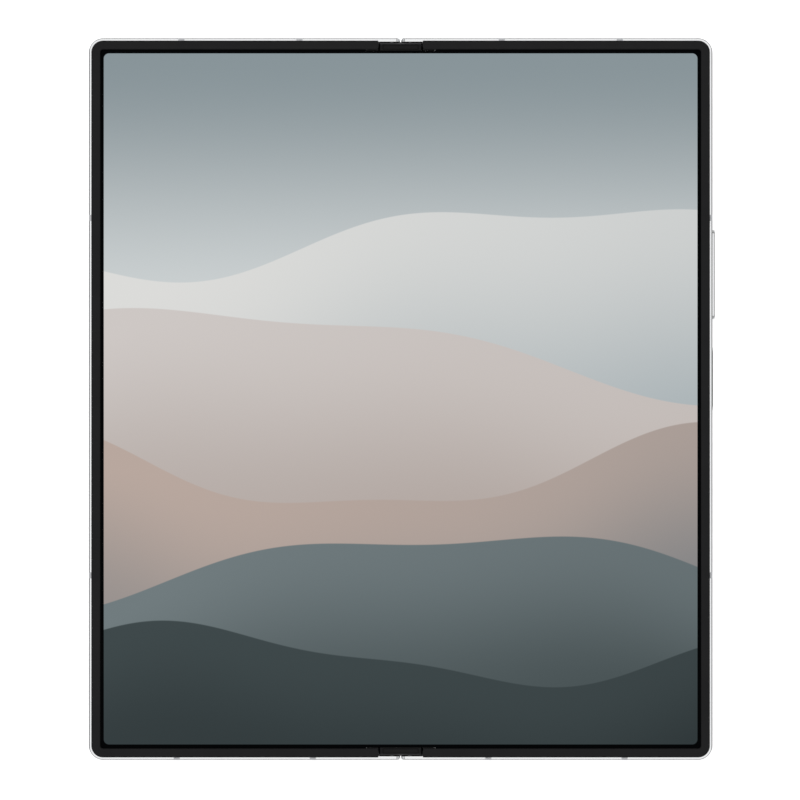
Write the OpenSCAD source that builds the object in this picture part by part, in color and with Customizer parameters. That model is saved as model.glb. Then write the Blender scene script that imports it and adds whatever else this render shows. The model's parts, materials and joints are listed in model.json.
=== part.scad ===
// Foldable smartphone, lying open on its back with the inner display up.
// X runs across both halves, Y runs along the fold, Z is up.
// Heights inside the modules count from the back glass, and seated() adds the camera bump below it.

/* [Overall size] */
// Height of the phone along the fold
phone_height = 153.5; // [151:0.5:156]
// Width of the open phone across both halves
phone_width = 132.6; // [131.6:0.1:133.6]
// Thickness of the closed phone between its two backs
closed_thickness = 12.1; // [12:0.1:13]
// Gap between the two metal rims when the phone is closed
rim_gap = 0.9; // [0.8:0.02:1]
// Radius of the four outer corners, seen from the front
corner_radius = 3.05; // [2.6:0.05:3.6]
// Radius that rounds the frame's front and back edges
edge_round = 0.3; // [0.2:0.05:0.35]
// Radius of the frame's corners next to the fold, seen from the front
fold_corner_radius = 0.5; // [0.4:0.05:0.6]
// Width of the slit between the two halves when open
centre_slit = 0.26; // [0.24:0.02:0.34]

/* [Rim and inner display] */
// Width of the metal rim seen around the raised bezel
rim_width = 0.55; // [0.5:0.01:0.6]
// Width of the metal rim across the hinge ends
hinge_rim_width = 0.87; // [0.84:0.01:0.9]
// Width of the raised dark bezel strip
bezel_width = 1.92; // [1.86:0.01:1.96]
// Distance from the fold to each end of the bezel strips
bezel_end = 4.67; // [4.66:0.01:4.72]
// Radius of the bezel ends on the rim's side
bezel_outer_round = 0.4; // [0.3:0.05:0.5]
// Radius of the bezel ends on the display's side
bezel_inner_round = 0.8; // [0.6:0.05:0.9]
// Depth of the display surface below the metal rim
display_drop = 0.1; // [0.08:0.01:0.12]
// Thickness of the inner display on each half
display_thickness = 0.55; // [0.5:0.01:0.55]
// Thickness of the bare display across the fold
fold_display_thickness = 0.44; // [0.4:0.01:0.46]

/* [Fold and hinge] */
// Distance from the fold to each fold axis
fold_axis_x = 1.9; // [1.89:0.01:1.91]
// Free gap between the spine and the halves that turn round it
spine_gap = 0.12; // [0.1:0.01:0.14]
// Thickness of the frame's lip outside the spine, which sets the closed width
lip_thickness = 0.33; // [0.3:0.01:0.36]
// Wall of the hinge spine
spine_wall = 0.35; // [0.33:0.01:0.38]
// Depth of the spine's side walls below the fold axes
spine_wall_drop = 1.15; // [1.12:0.01:1.2]
// Wall of the hinge blocks outside the arc rails
block_wall = 0.35; // [0.33:0.01:0.38]
// Thickness of the arc rails
rail_thickness = 0.7; // [0.65:0.05:0.7]
// Width of each arc rail along the fold
rail_width = 4.8; // [4:0.1:5]
// Free gap round the arc rails in their grooves
rail_gap = 0.05; // [0.04:0.01:0.06]
// Distance from the middle hinge block to the other two
block_spacing = 48; // [40:1:55]
// Length of each hinge block along the fold
block_length = 8; // [7.6:0.1:9]
// Teeth of each of the four synchroniser gears
gear_teeth = 12; // [12:1:12]
// Width of the synchroniser gears
gear_width = 1; // [0.8:0.05:1]
// Diameter of the two end pivots of each half
pivot_diameter = 0.9; // [0.8:0.05:0.96]

/* [Display support at the fold] */
// Distance from the spine's side to the wing plate's pivot line
wing_margin = 1.735; // [1.72:0.005:1.75]
// Distance from the fold to the first line at which the display bends
first_bend = 2.652; // [2.65:0.002:2.66]
// Extra turn of each wing plate when the phone is closed
wing_turn = 15; // [14:0.5:15]
// Length of each narrow display strip between the wings
strip_length = 1.06; // [1.05:0.005:1.065]
// Thickness of the metal wing plates
wing_plate_thickness = 0.33; // [0.3:0.01:0.35]

/* [Frames] */
// Thickness of the frame's side walls
wall = 2; // [1.9:0.05:2.1]
// Thickness of the deck under the display
deck_thickness = 0.5; // [0.47:0.01:0.5]
// Thickness of the back glass and the cover glass
glass_thickness = 0.6; // [0.5:0.02:0.62]
// Thickness of the adhesive film under glass and modules
film = 0.02; // [0.01:0.01:0.04]
// Distance from the frame's outer side to the back glass
glass_inset = 0.6; // [0.55:0.05:0.8]
// Width of the plastic antenna bands
band_width = 1.3; // [1:0.05:1.5]
// Distance from the fold to the inner antenna bands on the top edge
top_band_inner = 21.5; // [20:0.5:23]
// Distance from the phone's sides to the outer antenna bands on the top edge
top_band_margin = 19.7; // [18.8:0.1:20.3]
// Distance from the fold to the inner antenna bands on the bottom edge
bottom_band_inner = 18.65; // [17.5:0.05:20]
// Distance from the phone's sides to the outer antenna bands on the bottom edge
bottom_band_margin = 18.7; // [18.1:0.1:19.3]
// Height above the middle of the upper side bands
upper_band = 38.5; // [38.2:0.1:40]
// Height below the middle of the lower side bands
lower_band = 37.5; // [36:0.5:40]

/* [Keys] */
// Length of the volume rocker
volume_length = 19; // [18:0.1:19.4]
// Position of the volume rocker's middle along the edge
volume_middle = 26.47; // [26.2:0.05:26.6]
// Distance that the volume rocker stands out of the edge
volume_stand = 0.55; // [0.5:0.05:0.7]
// Height of the volume rocker's cap
volume_cap = 2.2; // [1.8:0.1:2.6]
// Length of the fingerprint side key
side_key_length = 13.3; // [12:0.1:13.8]
// Position of the side key's middle along the edge
side_key_middle = 4.34; // [3.8:0.05:5]
// Distance that the side key stands out of the edge
side_key_stand = 0.15; // [0.1:0.05:0.3]
// Height of the side key's cap
side_key_cap = 2.8; // [2.4:0.1:3]
// Free gap round each key in its opening
key_gap = 0.1; // [0.08:0.01:0.12]

/* [Ports and card tray] */
// Width of the charging port's opening
port_width = 8.34; // [8.34:0.01:8.34]
// Height of the charging port's opening
port_height = 2.56; // [2.56:0.01:2.56]
// Wall of the charging port's steel shell
port_wall = 0.29; // [0.25:0.01:0.3]
// Depth of the charging port
port_depth = 7.3; // [6.8:0.1:7.8]
// Position of the card tray's middle along the left edge
tray_middle = 20; // [17:0.5:24]
// Width of the card tray's plate
tray_width = 15.2; // [14.6:0.1:15.6]
// Length of the card tray behind its front
tray_length = 21.6; // [20.6:0.1:22]
// Thickness of the card tray's plate
tray_thickness = 0.8; // [0.75:0.05:0.85]
// Diameter of the sound holes in the edges
sound_hole = 1; // [0.7:0.1:1.2]

/* [Cameras] */
// Height of the camera island and its rings below the back glass
bump_height = 1.3; // [1.1:0.05:1.6]
// Height of the lens rings over the camera island
ring_height = 0.5; // [0.4:0.05:0.6]
// Width of the camera island
island_width = 18.4; // [17:0.2:19]
// Distance between neighbouring rear cameras
camera_pitch = 16.1; // [15.6:0.1:17]
// Outer diameter of each lens ring
ring_diameter = 14.4; // [13.8:0.2:15.2]
// Diameter of each rear lens cover
lens_diameter = 12.2; // [11:0.2:12.6]
// Distance from the phone's edges to the camera island
island_margin = 5.6; // [5.2:0.1:7]
// Diameter of the cover display's camera opening
cover_camera_diameter = 3.9; // [3.4:0.1:4.4]

/* [Hidden] */
$fn = 96;
tiny = 0.01;
half_width = phone_width / 2;
half_height = phone_height / 2;
// Height of the fold axes, half the closed thickness less their distance from the fold
fold_axis_z = closed_thickness / 2 - fold_axis_x;
bezel_top = fold_axis_z + fold_axis_x - 0.03;
rim_thickness = (closed_thickness - rim_gap) / 2;
display_top = rim_thickness - display_drop;
// The closed width is half_width less fold_axis_x plus this radius, 68.1 in all
spine_radius = fold_axis_z - lip_thickness - spine_gap;
spine_inner = spine_radius - spine_wall;
spine_wall_top = fold_axis_z - spine_wall_drop;
room_radius = spine_radius + spine_gap;
rail_outer_radius = spine_inner - block_wall;
rail_inner_radius = rail_outer_radius - rail_thickness;
wing_reach = spine_radius + wing_margin;
edge_x = centre_slit / 2;
deck_top = display_top - display_thickness;
deck_bottom = deck_top - deck_thickness;
// The rim's front corner turns inside this radius, so the halves never cross
end_corner_radius = fold_axis_x - edge_x;
hinge_room = half_height - hinge_rim_width;
spine_half_length = hinge_room - 0.08;
end_plate = 0.35;
cap_inner = half_height - rim_width - bezel_width - 0.18;
fold_display_half = cap_inner - 0.1;
cap_radius = 2.78;
cap_top = display_top - 0.05;
bezel_inner_y = half_height - rim_width - bezel_width;
// The end plates stop here, and the caps cover them
plate_top = fold_axis_z + 0.75;
cap_ledge = 0.11;
cap_chamfer = 0.24;
// Hinge beam between the spine's room and the battery bays
beam_top = fold_axis_z - 1;
beam_edge = fold_axis_x + wing_reach + 0.08;
bay_start = beam_edge + 0.6;
wing_line = fold_axis_x + wing_reach;
strip_line_1 = first_bend;
strip_line_2 = strip_line_1 - strip_length;
strip_line_3 = strip_line_2 - strip_length;
// Four equal gears fill the way from one fold axis to the other
gear_radius = fold_axis_x / 2;
gear_module = 2 * gear_radius / gear_teeth;
gear_tip = gear_radius + 0.8 * gear_module;
gear_root = gear_radius - gear_module;
gear_backlash = 0.06;
gear_bore = 0.66;
idler_drop = gear_radius * sqrt(3);
gear_room = gear_tip + 0.07;
shaft_diameter = 0.56;
arm_bottom = beam_top;
arm_thickness = 0.45;
block_places = [-block_spacing, 0, block_spacing];
bay_end = half_width - wall;
bay_top = half_height - wall;
bay_width = bay_end - bay_start;
glass_near = fold_axis_x + 2.25;
pocket_near = fold_axis_x + 3.1;
top_band_outer = half_width - top_band_margin;
bottom_band_outer = half_width - bottom_band_margin;
panel_top = 1.35;
pocket_top = 1.45;
island_x = half_width - island_margin - island_width / 2;
island_length = 2 * camera_pitch + island_width;
island_y = half_height - island_margin - island_length / 2;
island_depth = bump_height - ring_height;
port_x = (edge_x + half_width) / 2;
port_z = rim_thickness / 2;
port_bottom = port_z - port_height / 2 - port_wall;
key_level = rim_thickness / 2;
key_flange = 0.5;
tray_z = rim_thickness / 2 + 0.2;
module_top = deck_bottom - 0.05;
// Ribs between the bays, which part the boards from the batteries
rib = 1.6;
left_rib_upper = tray_middle - 14.8;
left_rib_lower = -0.74 * half_height;
right_rib_upper = island_y - camera_pitch - 12.55;
right_rib_lower = -0.688 * half_height;
cover_camera_y = half_height - 7.25;
inner_camera_y = half_height - 8.75;
left_board_low = [bay_start + 1.5, left_rib_upper + 2.8];
left_board_high = [bay_end - 0.5, bay_top - 10.75];
left_board_top = tray_z - tray_thickness / 2 - 0.3;
main_board_low = [bay_start + 0.8, right_rib_upper + 1.8];
main_board_high = [island_x - 7, bay_top - 0.5];
main_board_bottom = module_top - 0.8;
sub_board_low = [bay_start + 6, -bay_top + 0.5];
sub_board_high = [half_width - 20, right_rib_lower - 5.2];
sub_board_top = port_bottom - 0.01;
coil_radius = 0.355 * bay_width;

// Helpers for placing and extruding

// Stand the phone on its camera rings
module seated() {
    translate([0, 0, bump_height]) children();
}

// Keep a right-hand piece, or turn it into the left-hand one
module on_side(side) {
    if (side > 0) children();
    else mirror([1, 0, 0]) children();
}

// Place a piece at the upper end and its mirror image at the lower end
module both_ends() {
    children();
    mirror([0, 1, 0]) children();
}

// Extrude a flat x and height profile along the fold, from y0 to y1
module along_fold(y0, y1) {
    translate([0, y1, 0]) rotate([90, 0, 0]) linear_extrude(y1 - y0) children();
}

// Extrude a flat y and height profile across the phone, from x0 to x1
module across(x0, x1) {
    translate([x0, 0, 0]) rotate([90, 0, 90]) linear_extrude(x1 - x0) children();
}

// Extrude a plan shape between two heights
module slab(bottom, top) {
    translate([0, 0, bottom]) linear_extrude(top - bottom) children();
}

// Flat rectangle between two corners
module area(low, high) {
    translate(low) square([high.x - low.x, high.y - low.y]);
}

// Flat rectangle between two corners, with rounded corners
module round_area(low, high, r) {
    area([low.x + r, low.y], [high.x - r, high.y]);
    area([low.x, low.y + r], [high.x, high.y - r]);
    for (x = [low.x + r, high.x - r])
        for (y = [low.y + r, high.y - r])
            translate([x, y]) circle(r);
}

// Solid box between two corners
module box(low, high) {
    translate(low) cube([high.x - low.x, high.y - low.y, high.z - low.z]);
}

// Chip between two heights, over the part of a board from one share of its plan to another
module chip(board_low, board_high, from, to, bottom, top) {
    low = board_low + [from.x * (board_high.x - board_low.x), from.y * (board_high.y - board_low.y)];
    high = board_low + [to.x * (board_high.x - board_low.x), to.y * (board_high.y - board_low.y)];
    slab(bottom, top) area(low, high);
}

// Plan of one half, drawn in by inset from the outer edges and starting at near
module half_plan(inset, near) {
    far = half_width - inset;
    top = half_height - inset;
    r = corner_radius - inset;
    area([near, -top], [far - r, top]);
    area([near, -top + r], [far, top - r]);
    for (s = [-1, 1]) translate([far - r, s * (top - r)]) circle(r);
}

// Disc about the fold axis in the x and height profile
module axis_disc(r) {
    translate([fold_axis_x, fold_axis_z]) circle(r);
}

// Frames

// Room for the spine, the gears and the folding display
module spine_room() {
    along_fold(-hinge_room, hinge_room) {
        axis_disc(room_radius);
        area([-1, lip_thickness], [fold_axis_x, 12]);
    }
    along_fold(-cap_inner, cap_inner) area([-1, beam_top], [beam_edge, 12]);
}

// Seat under each bezel end, clear of the spine's caps when the half turns
module bezel_seats() {
    both_ends() box([bezel_end + 0.08, cap_inner + 0.05, deck_bottom], [bay_start, hinge_room + 0.1, deck_top]);
}

// Cut that rounds the rim's front corner next to the other half
module end_corner_cut() {
    along_fold(-half_height - 1, half_height + 1) difference() {
        area([-1, fold_axis_z], [fold_axis_x, 12]);
        axis_disc(end_corner_radius);
    }
}

// What the rounded front and back edges take off the frame, from the outer side inwards
module edge_profile() {
    for (z = [0, rim_thickness]) difference() {
        translate([-1, z == 0 ? -1 : rim_thickness - edge_round]) square(1 + edge_round);
        translate([edge_round, z == 0 ? edge_round : rim_thickness - edge_round]) circle(edge_round, $fn = 32);
    }
}

// Rounding cut along the three outer sides of the right half, and round its corners at the fold
module edge_cut() {
    r = corner_radius;
    far = half_width - r;
    top = half_height - r;
    near = edge_x + fold_corner_radius;
    translate([half_width, 0, 0]) rotate([90, 0, 180]) translate([0, 0, -top])
        linear_extrude(2 * top) edge_profile();
    both_ends() {
        translate([near, half_height, 0]) rotate([90, 0, 90]) linear_extrude(far - near)
            mirror([1, 0]) edge_profile();
        translate([far, top, 0]) rotate_extrude(angle = 90)
            translate([r, 0]) mirror([1, 0]) edge_profile();
        translate([near, half_height - fold_corner_radius, 0]) rotate(90) rotate_extrude(angle = 90)
            translate([fold_corner_radius, 0]) mirror([1, 0]) edge_profile();
        slab(-1, 12) corner_off([near, half_height - fold_corner_radius], -1, 1, fold_corner_radius);
    }
}

// What rounding with radius r takes off a square corner, from the round's centre in the given direction
module corner_off(centre, x, y, r) {
    translate(centre) scale([x, y]) difference() {
        square(r + 1);
        circle(r);
    }
}

// Outer form of one half with its seats for glass and display, before any openings
module half_body() {
    difference() {
        union() {
            difference() {
                slab(0, rim_thickness) half_plan(0, edge_x);
                spine_room();
            }
            bezel_seats();
        }
        end_corner_cut();
        edge_cut();
        slab(-1, glass_thickness + film) half_plan(glass_inset - 0.05, glass_near);
        slab(deck_top, 12) half_plan(rim_width, bezel_end);
    }
}

// Three bays cut below the deck, parted by two ribs
module bays(upper, lower, bottom) {
    slab(bottom, deck_bottom) {
        round_area([bay_start, upper + rib / 2], [bay_end, bay_top], 1);
        round_area([bay_start, lower + rib / 2], [bay_end, upper - rib / 2], 1);
        round_area([bay_start, -bay_top], [bay_end, lower - rib / 2], 1);
    }
}

// The slots through the side walls that the antenna bands fill
module band_slots(top_inner, top_outer, bottom_inner, bottom_outer) {
    half = band_width / 2;
    for (x = [top_inner, top_outer]) box([x - half, bay_top, -1], [x + half, half_height + 1, 9]);
    for (x = [bottom_inner, bottom_outer]) box([x - half, -half_height - 1, -1], [x + half, -bay_top, 9]);
    for (y = [upper_band, -lower_band]) box([bay_end, y - half, -1], [half_width + 1, y + half, 9]);
}

module edge_bands() {
    band_slots(top_band_inner, top_band_outer, bottom_band_inner, bottom_band_outer);
}

// Blind holes for the end pivots
module pivot_holes() {
    both_ends() along_fold(hinge_room - 0.1, hinge_room + 0.42) axis_disc(pivot_diameter / 2);
}

// Threaded holes for the rail screws in the hinge beam
module rail_screw_holes() {
    for (y = block_places) for (s = [-1, 1])
        translate([rail_screw_x(), y + s * 3.3, 1.8]) cylinder(h = 3, r = 0.5);
}

function rail_screw_x() = beam_edge - 0.9;

// A row of sound holes through the top or bottom wall
module sound_holes(first, count, pitch, side) {
    for (i = [0 : count - 1])
        translate([first + i * pitch, side * (bay_top - 0.5), port_z]) rotate([-90 * side, 0, 0])
            cylinder(h = wall + 1, d = sound_hole);
}

// Frame of the left half, with the cover display's pocket and the card tray's slot
module left_frame() {
    color("silver") on_side(-1) difference() {
        half_body();
        edge_bands();
        display_pocket();
        bays(left_rib_upper, left_rib_lower, 1);
        tray_slot();
        translate([port_x, cover_camera_y, 1]) cylinder(h = 3.6, d = cover_camera_diameter + 3);
        sound_holes(half_width - 15, 6, 1.7, 1);
        pivot_holes();
        rail_screw_holes();
    }
}

// Pocket for the cover display, over the cover glass
module display_pocket() {
    slab(0.3, pocket_top) round_area([pocket_near, -bay_top], [bay_end + 0.3, bay_top], 1);
}

// Opening for the card tray, with a step that its front stops against
module tray_slot() {
    across(half_width - 1.25, half_width + 1)
        area([tray_middle - tray_width / 2 - 1, tray_z - 0.9], [tray_middle + tray_width / 2 + 1, tray_z + 0.9]);
    across(bay_end - 0.5, half_width)
        area([tray_middle - tray_width / 2 - 0.1, tray_z - tray_thickness / 2 - 0.1],
             [tray_middle + tray_width / 2 + 0.1, tray_z + tray_thickness / 2 + 0.1]);
}

// Frame of the right half, with the camera, port and key openings
module right_frame() {
    color("silver") difference() {
        half_body();
        edge_bands();
        bays(right_rib_upper, right_rib_lower, 0.3);
        key_opening(volume_middle, volume_length, volume_cap);
        key_opening(side_key_middle, side_key_length, side_key_cap);
        box([bay_end - 1.7, right_rib_upper - 3, 1.2], [bay_end, right_rib_upper + 3, deck_bottom]);
        port_opening();
        sound_holes(half_width - 16, 6, 1.7, -1);
        sound_holes(port_x - 7.2, 1, 1, -1);
        sound_holes(port_x + 7.8, 1, 1, -1);
        sound_holes(port_x - 3.2, 1, 1, 1);
        translate([port_x, inner_camera_y, deck_bottom - 0.1]) cylinder(h = 1, d = 4.4);
        pivot_holes();
        rail_screw_holes();
    }
}

// Opening for one key: the cap's slot and the deeper pocket for its flange
module key_opening(middle, length, cap) {
    slot = length / 2 + key_gap;
    flange = length / 2 + 0.8 + key_gap;
    across(bay_end - 0.5, half_width + 1)
        area([middle - slot, key_level - cap / 2 - key_gap], [middle + slot, key_level + cap / 2 + key_gap]);
    across(bay_end - 0.5, bay_end + 0.9)
        area([middle - flange, key_level - cap / 2 - 0.5], [middle + flange, key_level + cap / 2 + 0.5]);
}

// Flat outline of the charging port's shell, grown by extra
module port_outline(extra) {
    r = port_height / 2 + extra;
    run = port_width / 2 - port_height / 2;
    translate([port_x - run, port_z - r]) square([2 * run, 2 * r]);
    for (s = [-1, 1]) translate([port_x + s * run, port_z]) circle(r);
}

module port_opening() {
    along_fold(-half_height - 1, -bay_top + 0.5) port_outline(port_wall + 0.05);
}

// The plastic that fills the antenna slots flush with the frame
module left_antenna_bands() {
    color("gainsboro") on_side(-1) difference() {
        intersection() {
            half_body();
            edge_bands();
        }
        display_pocket();
    }
}

module right_antenna_bands() {
    color("gainsboro") difference() {
        intersection() {
            half_body();
            edge_bands();
        }
        key_opening(volume_middle, volume_length, volume_cap);
        key_opening(side_key_middle, side_key_length, side_key_cap);
    }
}

// Bezel profile, from its outer side at zero inwards, with a seat leg and a rounded crown
module bezel_profile() {
    r = 0.22;
    area([0.02, deck_top], [0.55, display_top + tiny]);
    area([0.02, display_top], [bezel_width, bezel_top - r]);
    area([0.02 + r, display_top], [bezel_width - r, bezel_top]);
    for (x = [0.02 + r, bezel_width - r]) translate([x, bezel_top - r]) circle(r, $fn = 48);
}

// Bezel strip round three sides of the right half
module bezel_strip() {
    r = corner_radius - rim_width;
    far = half_width - rim_width;
    top = half_height - rim_width;
    translate([far, 0, 0]) rotate([90, 0, 180]) translate([0, 0, -(top - r)])
        linear_extrude(2 * (top - r)) bezel_profile();
    both_ends() {
        translate([bezel_end, top, 0]) rotate([90, 0, 90]) linear_extrude(far - r - bezel_end)
            mirror([1, 0]) bezel_profile();
        translate([far - r, top - r, 0]) rotate_extrude(angle = 90)
            intersection() {
                translate([r, 0]) mirror([1, 0]) bezel_profile();
                area([0, 0], [20, 20]);
            }
    }
}

// Bezel strip with its four ends rounded in plan, over the seal pads that fill the way to the display
module rounded_bezel() {
    top = half_height - rim_width;
    color("dimgray") {
        difference() {
            bezel_strip();
            both_ends() slab(0, 12) {
                corner_off([bezel_end + bezel_outer_round, top - bezel_outer_round], -1, 1, bezel_outer_round);
                corner_off([bezel_end + bezel_inner_round, top - bezel_width + bezel_inner_round], -1, -1, bezel_inner_round);
            }
        }
        both_ends() box([bezel_end + 0.08, cap_inner + 0.05, deck_top], [wing_line - 0.05, top - 0.45, display_top + tiny]);
    }
}

module left_bezel() {
    on_side(-1) rounded_bezel();
}

module right_bezel() {
    rounded_bezel();
}

// Inner display

// Display panel that is fixed to one half
module half_display() {
    slab(deck_top, display_top) half_plan(rim_width + 0.62, wing_line);
}

// Display on the wing plate, with its outer end bevelled for the extra turn
module wing_display() {
    bevel = display_thickness * tan(wing_turn) + tiny;
    along_fold(-fold_display_half, fold_display_half) polygon([
        [strip_line_1, deck_top],
        [wing_line - bevel, deck_top],
        [wing_line, display_top],
        [strip_line_1, display_top]
    ]);
}

// Display strip between two pivot lines on the display's surface
module fold_strip(near, far) {
    bottom = display_top - fold_display_thickness;
    box([near, -fold_display_half, bottom], [far, fold_display_half, display_top]);
}

// Metal plate that carries the display next to the fold
module wing_plate() {
    bottom = deck_top - wing_plate_thickness;
    box([strip_line_1 + 0.2, -fold_display_half + 0.4, bottom], [wing_line - 0.28, fold_display_half - 0.4, deck_top]);
}

// Hinge

// Profile of the spine grown to radius r about both fold axes
module spine_profile(r) {
    for (s = [-1, 1]) translate([s * fold_axis_x, fold_axis_z]) circle(r);
    area([-fold_axis_x, fold_axis_z - r], [fold_axis_x, fold_axis_z + r]);
}

// Profile of the spine's shell, open at the top
module shell_profile() {
    difference() {
        spine_profile(spine_radius);
        spine_profile(spine_inner);
        area([-10, spine_wall_top], [10, 20]);
    }
}

// Profile of an end plate: the spine's shape below and the caps' shape above, up to the caps' flange
module end_profile() {
    intersection() {
        spine_profile(spine_radius);
        area([-10, 0], [10, spine_wall_top]);
    }
    intersection() {
        spine_profile(cap_radius);
        area([-10, spine_wall_top - tiny], [10, plate_top]);
    }
}

// Places of the four gears, in order from left to right
module gear_places() {
    for (s = [-1, 1]) {
        translate([s * fold_axis_x, fold_axis_z]) children();
        translate([s * gear_radius, fold_axis_z - idler_drop]) children();
    }
}

module idler_places() {
    for (s = [-1, 1]) translate([s * gear_radius, fold_axis_z - idler_drop]) children();
}

// Visible curved spine with its two end plates
module hinge_spine() {
    color("lightgray") difference() {
        union() {
            along_fold(-spine_half_length, spine_half_length) shell_profile();
            both_ends() along_fold(spine_half_length - end_plate, spine_half_length) end_profile();
        }
        both_ends() along_fold(spine_half_length - 1, spine_half_length + 1) {
            for (s = [-1, 1]) translate([s * fold_axis_x, fold_axis_z]) circle(pivot_diameter / 2 + 0.05);
            idler_places() circle(d = shaft_diameter);
        }
        for (y = block_places) for (s = [-1, 1])
            translate([0, y + s * 3.2, 0]) cylinder(h = 2, r = 0.35);
    }
}

// What is taken off a cap's top: a chamfer and a ledge along its end, a shallow panel and a dimple
module cap_relief() {
    far = spine_half_length;
    middle = (cap_inner + far) / 2;
    across(-10, 10) polygon([
        [far - cap_ledge - cap_chamfer, cap_top],
        [far - cap_ledge, cap_top - cap_chamfer],
        [far - cap_ledge, cap_top - cap_chamfer - 0.15],
        [far + 1, cap_top - cap_chamfer - 0.15],
        [far + 1, cap_top + 1],
        [far - cap_ledge - cap_chamfer, cap_top + 1]
    ]);
    slab(cap_top - 0.05, 12) area([-3.72, cap_inner + 0.25], [3.72, far - 0.5]);
    translate([0, middle, cap_top - 0.14]) cylinder(h = 0.1, r1 = 0, r2 = 0.55, $fn = 4);
}

// Dark caps over the gears, which close the ends of the hinge
module hinge_caps() {
    color("dimgray") both_ends() difference() {
        intersection() {
            union() {
                along_fold(cap_inner, spine_half_length - end_plate) area([-10, fold_axis_z - spine_inner], [10, cap_top]);
                along_fold(spine_half_length - 2 * end_plate, spine_half_length) area([-10, plate_top + film], [10, cap_top]);
            }
            along_fold(cap_inner, spine_half_length) spine_profile(cap_radius);
        }
        along_fold(cap_inner + 0.15, spine_half_length - end_plate + tiny) gear_places() circle(gear_room);
        cap_relief();
    }
}

// Part of the hinge block's outline between two angles about the fold axis
module sector(start, end, r) {
    polygon(concat([[0, 0]], [for (i = [0 : 8]) r * [cos(start + (end - start) * i / 8), sin(start + (end - start) * i / 8)]]));
}

// Groove that one arc rail runs in
module rail_groove() {
    translate([fold_axis_x, fold_axis_z]) difference() {
        intersection() {
            circle(rail_outer_radius + rail_gap);
            sector(-124, 20, 6);
        }
        circle(rail_inner_radius - rail_gap);
    }
    // Way out for the rail's arm over the spine's side wall
    translate([fold_axis_x, fold_axis_z]) difference() {
        area([0, -fold_axis_z + spine_wall_top], [6, 4]);
        circle(rail_inner_radius - rail_gap);
    }
}

// Hinge block that holds one left and one right arc rail
module hinge_block(y) {
    half = block_length / 2;
    groove = rail_width / 2 + 0.1;
    color("slategray") difference() {
        along_fold(y - half, y + half) difference() {
            spine_profile(spine_inner);
            area([-strip_line_1 - 0.1, fold_axis_z - 1.25], [strip_line_1 + 0.1, 20]);
            area([-10, fold_axis_z - 0.25], [10, 20]);
        }
        along_fold(y - groove, y + groove) {
            rail_groove();
            mirror([1, 0]) rail_groove();
        }
        for (s = [-1, 1]) translate([0, y + s * 3.2, 0]) {
            cylinder(h = 4, r = 0.35);
            translate([0, 0, fold_axis_z - 1.25 - 0.3]) cylinder(h = 2, r = 0.75);
        }
    }
}

// Screws that hold the hinge blocks down in the spine
module block_screws() {
    color("gainsboro") for (y = block_places) for (s = [-1, 1]) translate([0, y + s * 3.2, 0]) {
        translate([0, 0, fold_axis_z - spine_radius]) cylinder(h = 2.2, r = 0.35);
        translate([0, 0, fold_axis_z - 1.25 - 0.3]) cylinder(h = 0.28, r = 0.7);
    }
}

// Arc rail about the fold axis, with its arm over the spine's wall
module rail_profile() {
    translate([fold_axis_x, fold_axis_z]) difference() {
        union() {
            intersection() {
                circle(rail_outer_radius);
                sector(-120, -15, 6);
            }
            area([rail_outer_radius - 0.5, arm_bottom - fold_axis_z], [rail_plate() - fold_axis_x + 0.1, arm_bottom - fold_axis_z + arm_thickness]);
        }
        circle(rail_inner_radius);
    }
}

function rail_plate() = fold_axis_x + room_radius + 0.2;

// Rail bracket: a screwed plate on the hinge beam, an arm and the arc rail
module rails() {
    color("silver") for (y = block_places) difference() {
        union() {
            along_fold(y - rail_width / 2, y + rail_width / 2) rail_profile();
            box([rail_plate(), y - 4.4, arm_bottom], [beam_edge - 0.1, y + 4.4, arm_bottom + arm_thickness]);
        }
        for (s = [-1, 1]) translate([rail_screw_x(), y + s * 3.3, 0]) cylinder(h = 9, r = 0.5);
    }
}

// Screws of the rail brackets
module rail_screws() {
    color("gainsboro") for (y = block_places) for (s = [-1, 1]) translate([rail_screw_x(), y + s * 3.3, 0]) {
        translate([0, 0, 1.9]) cylinder(h = arm_bottom + arm_thickness - 1.9, r = 0.5);
        translate([0, 0, arm_bottom + arm_thickness]) cylinder(h = 0.3, r = 0.75);
    }
}

// Flat gear with straight-flanked teeth, turned by phase
module gear_shape(phase) {
    half = PI * gear_module / 4 - gear_backlash / 2;
    tip_half = half - (gear_tip - gear_radius) * tan(20);
    root_half = half + (gear_radius - gear_root) * tan(20);
    circle(gear_root);
    for (i = [0 : gear_teeth - 1]) rotate(phase + i * 360 / gear_teeth) polygon([
        [gear_root - 0.15, -root_half],
        [gear_tip, -tip_half],
        [gear_tip, tip_half],
        [gear_root - 0.15, root_half]
    ]);
}

// Pivot pins of one half, each with its fixed synchroniser gear
module pivots(side, phase) {
    first = cap_inner + 0.2;
    color("gainsboro") both_ends() {
        along_fold(first, first + gear_width) translate([side * fold_axis_x, fold_axis_z]) gear_shape(phase);
        along_fold(first, hinge_room + 0.42) translate([side * fold_axis_x, fold_axis_z]) circle(d = pivot_diameter);
    }
}

// Idler gears between the two fixed gears, one at each end
module idlers(side, phase) {
    first = cap_inner + 0.2;
    color("goldenrod") both_ends() along_fold(first, first + gear_width) difference() {
        translate([side * gear_radius, fold_axis_z - idler_drop]) gear_shape(phase);
        translate([side * gear_radius, fold_axis_z - idler_drop]) circle(d = gear_bore);
    }
}

// Shafts of the idler gears, pressed into the end plates
module idler_shafts() {
    color("gainsboro") both_ends() along_fold(cap_inner + 0.15, spine_half_length)
        idler_places() circle(d = shaft_diameter);
}

// Left half's pieces

module cover_glass() {
    color("black") on_side(-1) slab(0, glass_thickness) half_plan(glass_inset, glass_near + 0.05);
}

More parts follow.
